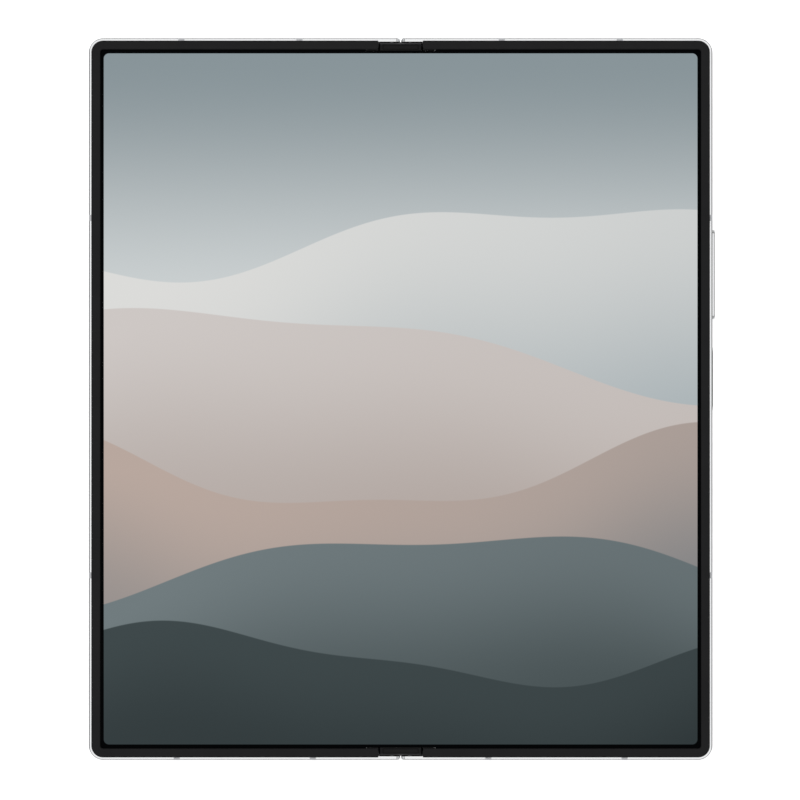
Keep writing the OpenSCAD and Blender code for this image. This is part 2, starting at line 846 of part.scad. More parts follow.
module cover_display() {
    color("darkslategray") on_side(-1) difference() {
        slab(glass_thickness, panel_top) round_area([pocket_near + 0.1, -bay_top + 0.15], [bay_end + 0.15, bay_top - 0.15], 0.9);
        translate([port_x, cover_camera_y, 0]) cylinder(h = 3, d = cover_camera_diameter);
    }
}

// Lens barrel behind the cover display's opening and its sensor housing
module cover_camera() {
    color("black") on_side(-1) translate([port_x, cover_camera_y, 0]) {
        translate([0, 0, glass_thickness + film]) cylinder(h = 1.6, d = cover_camera_diameter - 0.3);
        translate([0, 0, panel_top + 0.1]) cylinder(h = 2.2, d = cover_camera_diameter + 1.2);
        translate([-2.8, -2.8, 3]) cube([5.6, 5.6, module_top - 3]);
    }
}

module left_battery() {
    color("dimgray") on_side(-1) slab(pocket_top + 0.2, module_top)
        round_area([bay_start + 1, left_rib_lower + rib / 2 + 1], [bay_end - 1.6, left_rib_upper - rib / 2 - 1], 1.2);
}

// Side board that carries the card reader, with its row of chips
module left_board() {
    color("darkgreen") on_side(-1) {
        difference() {
            slab(left_board_top - 0.6, left_board_top) round_area(left_board_low, left_board_high, 0.8);
            translate([left_board_low.x + 2.5, left_board_high.y - 4, 0]) cylinder(h = 4, r = 1);
        }
        left_chip([0.08, 0.07], [0.27, 0.25], left_board_top + 1.1);
        left_chip([0.08, 0.32], [0.3, 0.54], left_board_top + 0.9);
        left_chip([0.38, 0.64], [0.52, 0.82], left_board_top + 1);
        left_chip([0.67, 0.68], [0.86, 0.82], left_board_top + 0.8);
        left_chip([0.08, 0.64], [0.23, 0.82], module_top);
    }
}

module left_chip(from, to, top) {
    chip(left_board_low, left_board_high, from, to, left_board_top, top);
}

// Steel cage over the card tray, closed by the board below it
module sim_reader() {
    top = tray_z + tray_thickness / 2 + 0.12;
    low = tray_middle - tray_width / 2 - 0.15;
    high = tray_middle + tray_width / 2 + 0.15;
    deep = half_width - 1.2 - tray_length - 0.6;
    color("silver") on_side(-1) difference() {
        box([deep - 0.15, low - 0.15, left_board_top], [bay_end - 0.1, high + 0.15, top + 0.15]);
        box([deep, low, left_board_top - 0.3], [bay_end + 1, high, top]);
    }
}

// Loudspeaker box behind the upper sound holes
module top_speaker() {
    color("black") on_side(-1) difference() {
        slab(1.6, module_top) round_area([half_width - 19, bay_top - 8.75], [half_width - 4, bay_top - 0.1], 0.6);
        translate([half_width - 15.8, bay_top - 1.2, port_z - 0.6]) cube([10, 2, 1.2]);
    }
}

// Coin vibration motor standing in its own housing
module vibration_motor() {
    middle = [port_x + 12.8, (left_rib_lower - rib / 2 - bay_top) / 2];
    color("silver") on_side(-1) {
        slab(1.6, 1.9) round_area(middle - [6, 6], middle + [6, 6], 1);
        slab(1.9, module_top) translate(middle) circle(d = 10);
    }
}

// Tray with a front flush with the frame and pockets for two cards
module sim_tray() {
    face = half_width;
    back = face - 1.2;
    low = tray_z - tray_thickness / 2;
    color("silver") on_side(-1) difference() {
        union() {
            across(back, face) area([tray_middle - tray_width / 2 - 0.9, tray_z - 0.8], [tray_middle + tray_width / 2 + 0.9, tray_z + 0.8]);
            slab(low, low + tray_thickness) round_area([back - tray_length, tray_middle - tray_width / 2], [back + 0.6, tray_middle + tray_width / 2], 0.5);
        }
        for (i = [0, 1]) slab(low + 0.1, 9) card_area(i, 0.05);
        translate([face - 3, tray_middle + tray_width / 2, tray_z]) rotate([0, 90, 0]) cylinder(h = 6, r = 0.4);
    }
}

// Plan of card number i in the tray, grown by extra
module card_area(i, extra) {
    x = half_width - 1.2 - 2.2 - i * 9.6;
    area([x - 8.8 - extra, tray_middle - 6.15 - extra], [x + extra, tray_middle + 6.15 + extra]);
}

module sim_cards() {
    low = tray_z - tray_thickness / 2 + 0.1;
    color("white") on_side(-1) for (i = [0, 1]) slab(low, low + 0.67) card_area(i, 0);
}

// Right half's pieces

// Plan of the camera island, grown by extra
module island_plan(extra) {
    r = island_width / 2 + extra;
    translate([island_x - r, island_y - camera_pitch]) square([2 * r, 2 * camera_pitch]);
    for (s = [-1, 1]) translate([island_x, island_y + s * camera_pitch]) circle(r);
}

// Repeat a piece at the three rear cameras
module at_cameras() {
    for (i = [-1 : 1]) translate([island_x, island_y + i * camera_pitch, 0]) children();
}

module back_glass() {
    color("slategray") difference() {
        slab(0, glass_thickness) half_plan(glass_inset, glass_near + 0.05);
        slab(-1, 2) island_plan(0.05);
        translate([flash_x(), flash_y(), -1]) cylinder(h = 3, d = 4.3);
    }
}

function flash_x() = island_x - island_width / 2 - 4.4;

function flash_y() = island_y + camera_pitch;

// Raised island that carries the three lenses
module camera_island() {
    color("slategray") difference() {
        slab(-island_depth, glass_thickness) island_plan(0);
        at_cameras() translate([0, 0, -2]) cylinder(h = 4, d = lens_diameter);
    }
}

// Metal ring round each lens
module camera_rings() {
    color("black") at_cameras() difference() {
        translate([0, 0, -bump_height]) cylinder(h = ring_height, d = ring_diameter);
        translate([0, 0, -bump_height - 1]) cylinder(h = 3, d = lens_diameter);
    }
}

module camera_lenses() {
    color("darkslategray") at_cameras() translate([0, 0, -bump_height + 0.12]) cylinder(h = 0.5, d = lens_diameter - 0.1);
}

// Lens barrels and sensor housings behind the lens covers
module camera_modules() {
    color("dimgray") at_cameras() {
        translate([0, 0, -bump_height + 0.62]) cylinder(h = 2, d = 8.6);
        translate([0, 0, glass_thickness + 0.05]) cylinder(h = 2.2, d = 11.2);
        translate([-6, -6, 1.6]) cube([12, 12, module_top - 1.6]);
    }
}

// Flash lens in the back glass with its lamp carrier
module camera_flash() {
    color("lightyellow") translate([flash_x(), flash_y(), 0]) {
        cylinder(h = 0.9, d = 4.2);
        translate([-2.6, -2.6, 0.9]) cube([5.2, 5.2, 0.9]);
    }
}

module right_battery() {
    color("dimgray") slab(glass_thickness + 0.3, module_top)
        round_area([bay_start + 1, right_rib_lower + rib / 2 + 1], [bay_end - 2.4, right_rib_upper - rib / 2 - 1], 1.2);
}

// Main board beside the cameras, hung under the deck
module main_board() {
    color("darkgreen") difference() {
        slab(main_board_bottom, module_top) {
            round_area(main_board_low, main_board_high, 0.8);
            area([island_x - 10, main_board_low.y], [bay_end - 1.7, island_y - camera_pitch - 6.5]);
        }
        translate([port_x, inner_camera_y, 0]) cylinder(h = 9, d = 7.4);
        translate([main_board_low.x + 3.2, main_board_high.y - 2.2, 0]) cylinder(h = 9, r = 1);
        translate([main_board_low.x + 3.2, main_board_low.y + 3, 0]) cylinder(h = 9, r = 1);
    }
}

// Pressed cans over the chips, on the board's back
module shield_cans() {
    color("silver") {
        main_can([0.06, 0.13], [0.51, 0.45], main_board_bottom - 2);
        main_can([0.06, 0.52], [0.51, 0.85], main_board_bottom - 2);
        main_can([0.58, 0.13], [0.77, 0.74], main_board_bottom - 1.5);
        slab(main_board_bottom - 1, main_board_bottom) area(
            [island_x - 23.5, main_board_low.y + 1.3], [island_x + 4.5, island_y - camera_pitch - 6.75]);
    }
}

module main_can(from, to, bottom) {
    chip(main_board_low, main_board_high, from, to, bottom, main_board_bottom);
}

// Flat charging coil on the back glass, wound in four flat turns
module charging_coil() {
    step = 0.12 * coil_radius;
    strand = 0.08 * coil_radius;
    color("peru") slab(glass_thickness, glass_thickness + 0.2) translate([port_x + 2, (right_rib_lower + right_rib_upper) / 2]) {
        for (i = [0 : 3]) difference() {
            circle(coil_radius - i * step);
            circle(coil_radius - i * step - strand);
        }
        for (s = [-1, 1]) area([s * strand - 0.6, 0.46 * coil_radius], [s * strand + 0.6, coil_radius + 0.8]);
    }
}

// Bottom board under the charging port
module sub_board() {
    color("darkgreen") {
        slab(glass_thickness + 0.12, sub_board_top) round_area(sub_board_low, sub_board_high, 0.8);
        chip(sub_board_low, sub_board_high, [0.09, 0.26], [0.31, 0.75], sub_board_top, sub_board_top + 1.4);
        chip(sub_board_low, sub_board_high, [0.37, 0.63], [0.87, 0.88], sub_board_top, module_top);
    }
}

// Charging port: a steel shell, its base and the contact tongue
module usb_port() {
    color("silver") {
        along_fold(-half_height + 0.35, -half_height + 0.35 + port_depth) difference() {
            port_outline(port_wall);
            port_outline(0);
        }
        along_fold(-half_height + port_depth - 1.2, -half_height + port_depth + 0.35) port_outline(tiny);
        along_fold(-half_height + 1.2, -half_height + port_depth)
            area([port_x - 0.4 * port_width, port_z - 0.35], [port_x + 0.4 * port_width, port_z + 0.35]);
        box([port_x - 3, -half_height + port_depth - 1.5, sub_board_top],
            [port_x + 3, -half_height + port_depth + 0.35, port_bottom + 0.37]);
    }
}

module bottom_speaker() {
    color("black") difference() {
        slab(0.9, module_top) round_area([half_width - 19, -bay_top + 0.1], [half_width - 3, right_rib_lower - 4.2], 0.8);
        translate([half_width - 16.8, -bay_top - 1, port_z - 0.6]) cube([10, 2.2, 1.2]);
    }
}

// Camera under the inner display, looking up through the deck
module inner_camera() {
    color("black") translate([port_x, inner_camera_y, 0]) {
        translate([0, 0, 1.4]) cylinder(h = deck_bottom - 1.85, d = 6.6);
        translate([0, 0, 1.4]) cylinder(h = deck_top - film - 1.4, d = 3.9);
        translate([-2.7, -2.7, 1]) cube([5.4, 5.4, 0.5]);
    }
}

// Flexible strip under the keys with one dome switch for each press point
module key_switches() {
    color("darkgoldenrod") {
        box([bay_end - 1.5, side_key_middle - side_key_length / 2 + 0.3, 1.4],
            [bay_end - 1.25, volume_middle + volume_length / 2 + 1, module_top]);
        for (y = [side_key_middle, volume_middle - 0.32 * volume_length, volume_middle + 0.32 * volume_length])
            translate([bay_end - 1.25, y, key_level]) rotate([0, 90, 0]) cylinder(h = 1.1, d = 2.6);
    }
}

// Cap and inner flange of one key
module key_body(middle, length, cap, stand, flange_back) {
    across(bay_end + flange_back, half_width + stand) key_face(middle, length, cap);
    across(bay_end + flange_back, bay_end + flange_back + key_flange)
        area([middle - length / 2 - 0.8, key_level - cap / 2 - 0.4], [middle + length / 2 + 0.8, key_level + cap / 2 + 0.4]);
}

// Rounded face of a key
module key_face(middle, length, cap) {
    round_area([middle - length / 2, key_level - cap / 2], [middle + length / 2, key_level + cap / 2], cap / 2 - 0.05);
}

module volume_rocker() {
    color("silver") key_body(volume_middle, volume_length, volume_cap, volume_stand, 0.12);
}

module side_key() {
    color("silver") key_body(side_key_middle, side_key_length, side_key_cap, side_key_stand, 0.35);
}

// Each node once, or all of them in place

seated() hinge_spine();
seated() hinge_block(block_spacing);  // hinge_block_upper
seated() hinge_block(0);  // hinge_block_middle
seated() hinge_block(-block_spacing);  // hinge_block_lower
seated() hinge_caps();
seated() idler_shafts();
seated() block_screws();
seated() left_frame();
seated() left_antenna_bands();
seated() left_bezel();
seated() color("navy") on_side(-1) half_display();  // left_display
seated() cover_glass();
seated() cover_display();
seated() cover_camera();
seated() left_battery();
seated() left_board();
seated() on_side(-1) rails();  // left_rails
seated() pivots(-1, 0);  // left_pivots
seated() top_speaker();
seated() sim_reader();
seated() vibration_motor();
seated() on_side(-1) rail_screws();  // left_screws
seated() color("silver") on_side(-1) wing_plate();  // left_wing_plate
seated() color("navy") on_side(-1) wing_display();  // left_wing_display
seated() color("navy") on_side(-1) fold_strip(strip_line_2, strip_line_1);  // left_fold_strip_1
seated() color("navy") on_side(-1) fold_strip(strip_line_3, strip_line_2);  // left_fold_strip_2
seated() sim_tray();
seated() sim_cards();
seated() right_frame();
seated() right_antenna_bands();
seated() right_bezel();
seated() color("navy") half_display();  // right_display
seated() back_glass();
seated() camera_island();
seated() camera_rings();
seated() camera_lenses();
seated() camera_modules();
seated() camera_flash();
seated() right_battery();
seated() main_board();
seated() shield_cans();
seated() charging_coil();
seated() sub_board();
seated() usb_port();
seated() bottom_speaker();
seated() inner_camera();
seated() rails();  // right_rails
seated() pivots(1, 180 / gear_teeth);  // right_pivots
seated() key_switches();
seated() rail_screws();  // right_screws
seated() color("silver") wing_plate();  // right_wing_plate
seated() color("navy") wing_display();  // right_wing_display
seated() color("navy") fold_strip(strip_line_2, strip_line_1);  // right_fold_strip_1
seated() color("navy") fold_strip(strip_line_3, strip_line_2);  // right_fold_strip_2
seated() volume_rocker();
seated() side_key();
seated() idlers(-1, 180 / gear_teeth);  // left_idlers
seated() idlers(1, 0);  // right_idlers
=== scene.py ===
import json
import math
from functools import reduce

import bmesh
import bpy
from mathutils import Matrix, Vector


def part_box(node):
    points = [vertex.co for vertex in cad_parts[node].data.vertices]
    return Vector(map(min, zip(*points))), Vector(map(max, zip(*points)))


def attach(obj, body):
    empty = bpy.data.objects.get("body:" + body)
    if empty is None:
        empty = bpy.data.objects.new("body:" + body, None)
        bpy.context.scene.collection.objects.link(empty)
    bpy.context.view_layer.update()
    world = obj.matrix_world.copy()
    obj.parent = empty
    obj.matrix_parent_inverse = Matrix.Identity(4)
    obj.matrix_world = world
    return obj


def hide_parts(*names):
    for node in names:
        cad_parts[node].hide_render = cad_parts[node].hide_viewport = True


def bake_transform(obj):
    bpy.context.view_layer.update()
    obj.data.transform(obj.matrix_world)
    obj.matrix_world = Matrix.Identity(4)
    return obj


bl_info = {
    "name": "Foldable phone finishes",
    "version": (1, 0, 0),
    "blender": (4, 5, 0),
    "location": "3D View > Sidebar > Phone",
    "description": "Finishes a packed foldable phone: rim, inner display, lenses, ports and a plain studio",
    "category": "Object",
}

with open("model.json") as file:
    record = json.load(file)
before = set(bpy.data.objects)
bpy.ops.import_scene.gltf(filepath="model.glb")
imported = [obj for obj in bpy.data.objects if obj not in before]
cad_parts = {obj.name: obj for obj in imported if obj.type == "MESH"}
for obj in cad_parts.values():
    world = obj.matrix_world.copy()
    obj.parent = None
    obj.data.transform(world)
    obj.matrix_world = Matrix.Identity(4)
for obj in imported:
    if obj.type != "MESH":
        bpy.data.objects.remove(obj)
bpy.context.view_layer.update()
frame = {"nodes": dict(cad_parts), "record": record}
MM = 0.001


def box_middle(node):
    """Middle of a fixed node's box."""
    low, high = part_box(node)
    return (low + high) / 2


# Places on the fixed frame, in metres
DISPLAY_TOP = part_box("left_display")[1].z
DISPLAY_FOLD_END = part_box("left_fold_strip_1")[1].y
STRIP_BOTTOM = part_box("left_fold_strip_1")[0].z
STRIP_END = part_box("right_fold_strip_2")[0].x
BEND_LINE_1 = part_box("right_fold_strip_1")[1].x
BEND_LINE_2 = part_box("right_fold_strip_2")[1].x
FRAME_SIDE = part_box("right_frame")[1].x
RIM_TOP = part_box("right_frame")[1].z
CAP_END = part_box("hinge_caps")[1].y
BACK_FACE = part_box("back_glass")[0].z
LENS_MIDDLE = box_middle("camera_lenses")
LENS_PITCH = 16.1 * MM
LENS_SPOTS = [Vector((LENS_MIDDLE.x, LENS_MIDDLE.y + step * LENS_PITCH, 0)) for step in (-1, 0, 1)]

# Height of the port and the sound holes, in the middle of the edges
EDGE_LEVEL = RIM_TOP - 2.8 * MM

# How far the keys' hidden flanges reach past their caps, along the edge and upwards
KEYS = ("volume_rocker", "side_key")
FLANGE_ALONG = 0.8 * MM
FLANGE_UP = 0.4 * MM

SLOTS = {row["node"]: row["material_slot"] for row in frame["record"]["subparts"]}
BODIES = {node: body for body, nodes in frame["record"]["behaviour"]["bodies"].items() for node in nodes}
GROUPS = {}
MATERIALS = {}


# Colours and small helpers


def rgb(red, green, blue):
    """A colour given in screen values from 0 to 255, as linear values with full alpha."""

    def linear(value):
        value /= 255
        return value / 12.92 if value <= 0.04045 else ((value + 0.055) / 1.055) ** 2.4

    return (linear(red), linear(green), linear(blue), 1.0)


def plug(socket, value):
    """Joins a socket to another one, or sets its value."""
    if isinstance(value, bpy.types.NodeSocket):
        socket.id_data.links.new(value, socket)
    else:
        socket.default_value = value


def add_node(tree, kind, settings=None, **inputs):
    """A new shader node with its settings, whose inputs are values or sockets to join."""
    node = tree.nodes.new("ShaderNode" + kind)
    for name, value in (settings or {}).items():
        setattr(node, name, value)
    for name, value in inputs.items():
        plug(node.inputs[name.replace("_", " ")], value)
    return node


def calc(operation, *values, kind="Math", output=0):
    """The result of a Math node in the tree of the sockets among the values."""
    tree = next(value.id_data for value in values if isinstance(value, bpy.types.NodeSocket))
    node = add_node(tree, kind, {"operation": operation})
    for socket, value in zip(node.inputs, values):
        plug(socket, value)
    return node.outputs[output]


def times(first, second):
    """The product of two values."""
    return calc("MULTIPLY", first, second)


def merge(operation, values):
    """All values put together by a Math operation, two at a time."""
    return reduce(lambda first, second: calc(operation, first, second), values)


def vector_calc(operation, *values, output=0):
    """The result of a Vector Math node."""
    return calc(operation, *values, kind="VectorMath", output=output)


def blend_colors(factor, first, second):
    """The result of a colour Mix node."""
    node = add_node(factor.id_data, "Mix", {"data_type": "RGBA"})
    for index, value in ((0, factor), (6, first), (7, second)):
        plug(node.inputs[index], value)
    return node.outputs[2]


def ramp_value(value, low, high, out_low=0.0, out_high=1.0, kind="LINEAR"):
    """A value mapped from one range to another and held inside it."""
    node = add_node(
        value.id_data,
        "MapRange",
        {"interpolation_type": kind},
        Value=value,
        From_Min=low,
        From_Max=high,
        To_Min=out_low,
        To_Max=out_high,
    )
    return node.outputs[0]


def falling(value, low, high):
    """A mask that falls from one to zero over a range."""
    return ramp_value(value, low, high, 1.0, 0.0)


def between(value, rise, fall):
    """A mask that rises over one range and falls over a later one."""
    return times(ramp_value(value, *rise), falling(value, *fall))


def new_group(name, inputs, outputs):
    """An empty shader node group with named sockets, given as (name, kind, default)."""
    group = bpy.data.node_groups.new(name, "ShaderNodeTree")
    for label, kind, default in inputs:
        socket = group.interface.new_socket(label, in_out="INPUT", socket_type="NodeSocket" + kind)
        socket.default_value = default
    for label, kind in outputs:
        group.interface.new_socket(label, in_out="OUTPUT", socket_type="NodeSocket" + kind)
    return group, group.nodes.new("NodeGroupInput").outputs, group.nodes.new("NodeGroupOutput").inputs


def place_of_point(tree):
    """Object coordinates, which are the phone's own frame in metres."""
    return add_node(tree, "TexCoord").outputs["Object"]


def axes(tree, vector=None):
    """The X, Y and Z of a vector, or else of the object coordinates."""
    if vector is None:
        vector = place_of_point(tree)
    return add_node(tree, "SeparateXYZ", Vector=vector).outputs


# Effects shared by the finishes


def make_fine_grain():
    """Grain of blasted metal and moulded plastic."""
    group, given, out = new_group(
        "Fine grain",
        [("Scale", "Float", 9000.0)],
        [("Height", "Float"), ("Speckle", "Float")],
    )
    point = place_of_point(group)
    scale = given["Scale"]
    coarse = add_node(group, "TexNoise", Vector=point, Scale=scale, Detail=3.0, Roughness=0.6)
    pit_scale = times(scale, 2.3)
    pits = add_node(group, "TexVoronoi", Vector=point, Scale=pit_scale)
    pit_depth = times(pits.outputs[0], 0.35)
    plug(out["Height"], calc("SUBTRACT", coarse.outputs[0], pit_depth))
    plug(out["Speckle"], ramp_value(coarse.outputs[0], 0.35, 0.65))
    return group


def make_ground_lines():
    """Fine lines left by grinding, drawn out along the axis with the smallest stretch."""
    group, given, out = new_group(
        "Ground lines",
        [("Stretch", "Vector", (40.0, 4000.0, 4000.0))],
        [("Height", "Float"), ("Streak", "Float")],
    )
    scaled = vector_calc("MULTIPLY", place_of_point(group), given["Stretch"])
    lines = add_node(group, "TexNoise", Vector=scaled, Scale=1.0, Detail=4.0, Roughness=0.7)
    plug(out["Height"], lines.outputs[0])
    plug(out["Streak"], ramp_value(lines.outputs[0], 0.3, 0.7))
    return group


def make_handling_haze():
    """Soft uneven patches that handling leaves on a clean surface."""
    group, given, out = new_group("Handling haze", [("Scale", "Float", 60.0)], [("Haze", "Float")])
    point = place_of_point(group)
    scale = given["Scale"]
    tight_scale = times(scale, 7.0)
    wide = add_node(group, "TexNoise", Vector=point, Scale=scale, Detail=5.0, Distortion=0.6)
    tight = add_node(group, "TexNoise", Vector=point, Scale=tight_scale, Detail=3.0)
    shares = [times(node.outputs[0], share) for node, share in ((wide, 0.7), (tight, 0.3))]
    plug(out["Haze"], ramp_value(calc("ADD", *shares), 0.35, 0.65, kind="SMOOTHSTEP"))
    return group


def make_rounded_window():
    """Inside of a rectangle with rounded corners, seen from the front."""
    group, given, out = new_group(
        "Rounded window",
        [
            ("Middle", "Vector", (0.0, 0.0, 0.0)),
            ("Half Width", "Float", 0.01),
            ("Half Height", "Float", 0.01),
            ("Corner", "Float", 0.001),
            ("Softness", "Float", 0.00005),
        ],
        [("Inside", "Float"), ("Distance", "Float")],
    )
    parts = axes(group, vector_calc("SUBTRACT", place_of_point(group), given["Middle"]))
    over = []
    for axis, half in (("X", "Half Width"), ("Y", "Half Height")):
        core = calc("SUBTRACT", given[half], given["Corner"])
        over.append(calc("SUBTRACT", calc("ABSOLUTE", parts[axis]), core))
    past = [calc("MAXIMUM", item, 0.0) for item in over]
    outside = calc("SQRT", calc("ADD", *[times(item, item) for item in past]))
    within = calc("MINIMUM", calc("MAXIMUM", *over), 0.0)
    distance = calc("SUBTRACT", calc("ADD", outside, within), given["Corner"])
    plug(out["Distance"], distance)
    half_soft = times(given["Softness"], 0.5)
    minus = times(half_soft, -1.0)
    plug(out["Inside"], falling(distance, minus, half_soft))
    return group


def make_round_marks():
    """Distance from an upright line through a point, for marks on round pieces."""
    group, given, out = new_group(
        "Round marks",
        [("Middle", "Vector", (0.0, 0.0, 0.0))],
        [("Radius", "Float")],
    )
    shifted = vector_calc("SUBTRACT", place_of_point(group), given["Middle"])
    flat = vector_calc("MULTIPLY", shifted, (1.0, 1.0, 0.0))
    plug(out["Radius"], vector_calc("LENGTH", flat, output="Value"))
    return group


# Each hill of the picture: height, then size, count and shift of a long and a short wave,
# how deep its shade runs, and its colours at the crest and at the foot
HILLS = [
    (0.46, 0.10, 2.1, 0.4, 0.035, 5.3, 1.9, 0.75, rgb(219, 219, 217), rgb(166, 176, 180)),
    (0.13, 0.13, 1.7, 2.6, 0.030, 4.6, 0.3, 0.60, rgb(205, 199, 196), rgb(172, 160, 154)),
    (-0.20, 0.12, 2.4, 5.0, 0.028, 6.1, 2.2, 0.55, rgb(184, 167, 158), rgb(128, 130, 132)),
    (-0.50, 0.11, 1.9, 1.2, 0.030, 5.0, 4.1, 0.45, rgb(112, 123, 126), rgb(70, 80, 82)),
    (-0.74, 0.08, 2.7, 3.6, 0.020, 6.6, 0.8, 0.35, rgb(62, 72, 74), rgb(46, 54, 56)),
]
SKY = (rgb(136, 148, 153), rgb(205, 210, 211))
PICTURE_HALF = (63.1 * MM, 73.45 * MM)


def make_hill_picture():
    """Soft rolling hills in mist, for the lit display."""
    group, given, out = new_group("Hill picture", [], [("Picture", "Color")])
    parts = axes(group)
    across = calc("DIVIDE", parts["X"], PICTURE_HALF[0])
    up = calc("DIVIDE", parts["Y"], PICTURE_HALF[1])
    picture = blend_colors(ramp_value(up, 1.0, 0.2, kind="SMOOTHSTEP"), *SKY)
    for line, *waves, depth, crest, foot in HILLS:
        for size, count, shift in (waves[:3], waves[3:]):
            wave = calc("SINE", calc("MULTIPLY_ADD", across, count, shift))
            line = calc("MULTIPLY_ADD", wave, size, line)
        below = calc("SUBTRACT", line, up)
        shade = ramp_value(below, 0.0, depth, kind="SMOOTHSTEP")
        side = ramp_value(calc("MULTIPLY_ADD", across, 0.25, shade), -0.2, 1.25)
        hill = blend_colors(side, crest, foot)
        picture = blend_colors(ramp_value(below, -0.0015, 0.0015), picture, hill)
    plug(out["Picture"], picture)
    return group


def effect(tree, name, **inputs):
    """Places a shared effect in a material."""
    node = add_node(tree, "Group")
    node.node_tree = GROUPS[name]
    for label, value in inputs.items():
        plug(node.inputs[label.replace("_", " ")], value)
    return node.outputs


def window(tree, middle, half_width, half_height, corner, softness=0.05 * MM):
    """The mask and the edge distance of a rounded rectangle."""
    return effect(
        tree,
        "Rounded window",
        Middle=middle,
        Half_Width=half_width,
        Half_Height=half_height,
        Corner=corner,
        Softness=softness,
    )


def radius_from(tree, middle):
    """Distance from the upright line through a point."""
    return effect(tree, "Round marks", Middle=tuple(middle))["Radius"]


def radius_from_lenses(tree):
    """Distance from the middle of the nearest rear lens."""
    return merge("MINIMUM", [radius_from(tree, spot) for spot in LENS_SPOTS])


def rings(radius, count):
    """Fine waves round a middle, with count radians to a metre."""
    return calc("SINE", times(radius, count))


# Materials


def start_material(name, **constants):
    """A material with its Principled shader, whose constants are set on the shader's own sockets."""
    material = bpy.data.materials.new(name)
    material.use_nodes = True
    tree = material.node_tree
    shader = tree.nodes["Principled BSDF"]
    for label, value in constants.items():
        shader.inputs[label.replace("_", " ")].default_value = value
    return material, tree, shader


def reopen(material):
    """The shader of a finish, the point's axes and the plain colour, to change the colour in places."""
    shader = material.node_tree.nodes["Principled BSDF"]
    return shader, axes(material.node_tree), shader.inputs["Base Color"].links[0].from_socket


def paint(shader, factor, first, second):
    """Joins a blend of two colours to the shader."""
    plug(shader.inputs["Base Color"], blend_colors(factor, first, second))


def roughen(shader, value, start, end, low=0.0, high=1.0):
    """Joins a roughness that goes from start to end as a value rises."""
    plug(shader.inputs["Roughness"], ramp_value(value, low, high, start, end))


def haze_gloss(shader, scale, start, end):
    """Makes the roughness uneven with handling haze, and gives the haze."""
    haze = effect(shader.id_data, "Handling haze", Scale=scale)["Haze"]
    roughen(shader, haze, start, end)
    return haze


def bump(shader, height, distance):
    """Joins a height to the shader's normal."""
    node = add_node(shader.id_data, "Bump", Strength=1.0, Distance=distance, Height=height)
    plug(shader.inputs["Normal"], node.outputs[0])


FINE_GRAIN = (9000.0, 4e-6)


def surface(name, color, metallic, rough, shade, grain=FINE_GRAIN, lines=None, **constants):
    """A finish with uneven gloss and slight shade changes, grain of a scale and a height,
    and ground lines of a stretch and a height if asked for."""
    color = rgb(*color)
    material, tree, shader = start_material(name, Metallic=metallic, **constants)
    grains = effect(tree, "Fine grain", Scale=grain[0])
    haze = effect(tree, "Handling haze", Scale=60.0)["Haze"]
    darker = tuple(c * (1 - shade) for c in color[:3]) + (1.0,)
    mask = calc("MULTIPLY_ADD", grains["Speckle"], 0.5, times(haze, 0.5))
    height = times(grains["Height"], grain[1])
    if lines:
        drawn = effect(tree, "Ground lines", Stretch=lines[0])
        mask = calc("MULTIPLY_ADD", drawn["Streak"], 0.6, times(mask, 0.4))
        height = calc("MULTIPLY_ADD", drawn["Height"], lines[1], height)
    paint(shader, mask, color, darker)
    roughen(shader, mask, *rough)
    bump(shader, height, 1.0)
    return material


def metal(name, color, rough, shade, grain=FINE_GRAIN, lines=None):
    """A bare metal finish."""
    return surface(name, color, 1.0, rough, shade, grain, lines)


def plastic(name, color, rough, shade, grain, specular=0.5):
    """A moulded plastic finish."""
    return surface(name, color, 0.0, rough, shade, grain, Specular_IOR_Level=specular)


# Stretches of ground lines along the fold and across it, and lines with their height in metres
ALONG_FOLD = (3000.0, 60.0, 3000.0)
ACROSS_FOLD = (60.0, 2500.0, 2500.0)
STEEL_LINES = (ALONG_FOLD, 3e-6)
SPINE_LINES = ((3000.0, 50.0, 3000.0), 1.2e-6)
GEAR_LINES = ((3000.0, 100.0, 3000.0), 2e-6)
TRAY_LINES = ((60.0, 3000.0, 3000.0), 4e-7)
PORT_LINES = ((2500.0, 60.0, 2500.0), 2e-6)


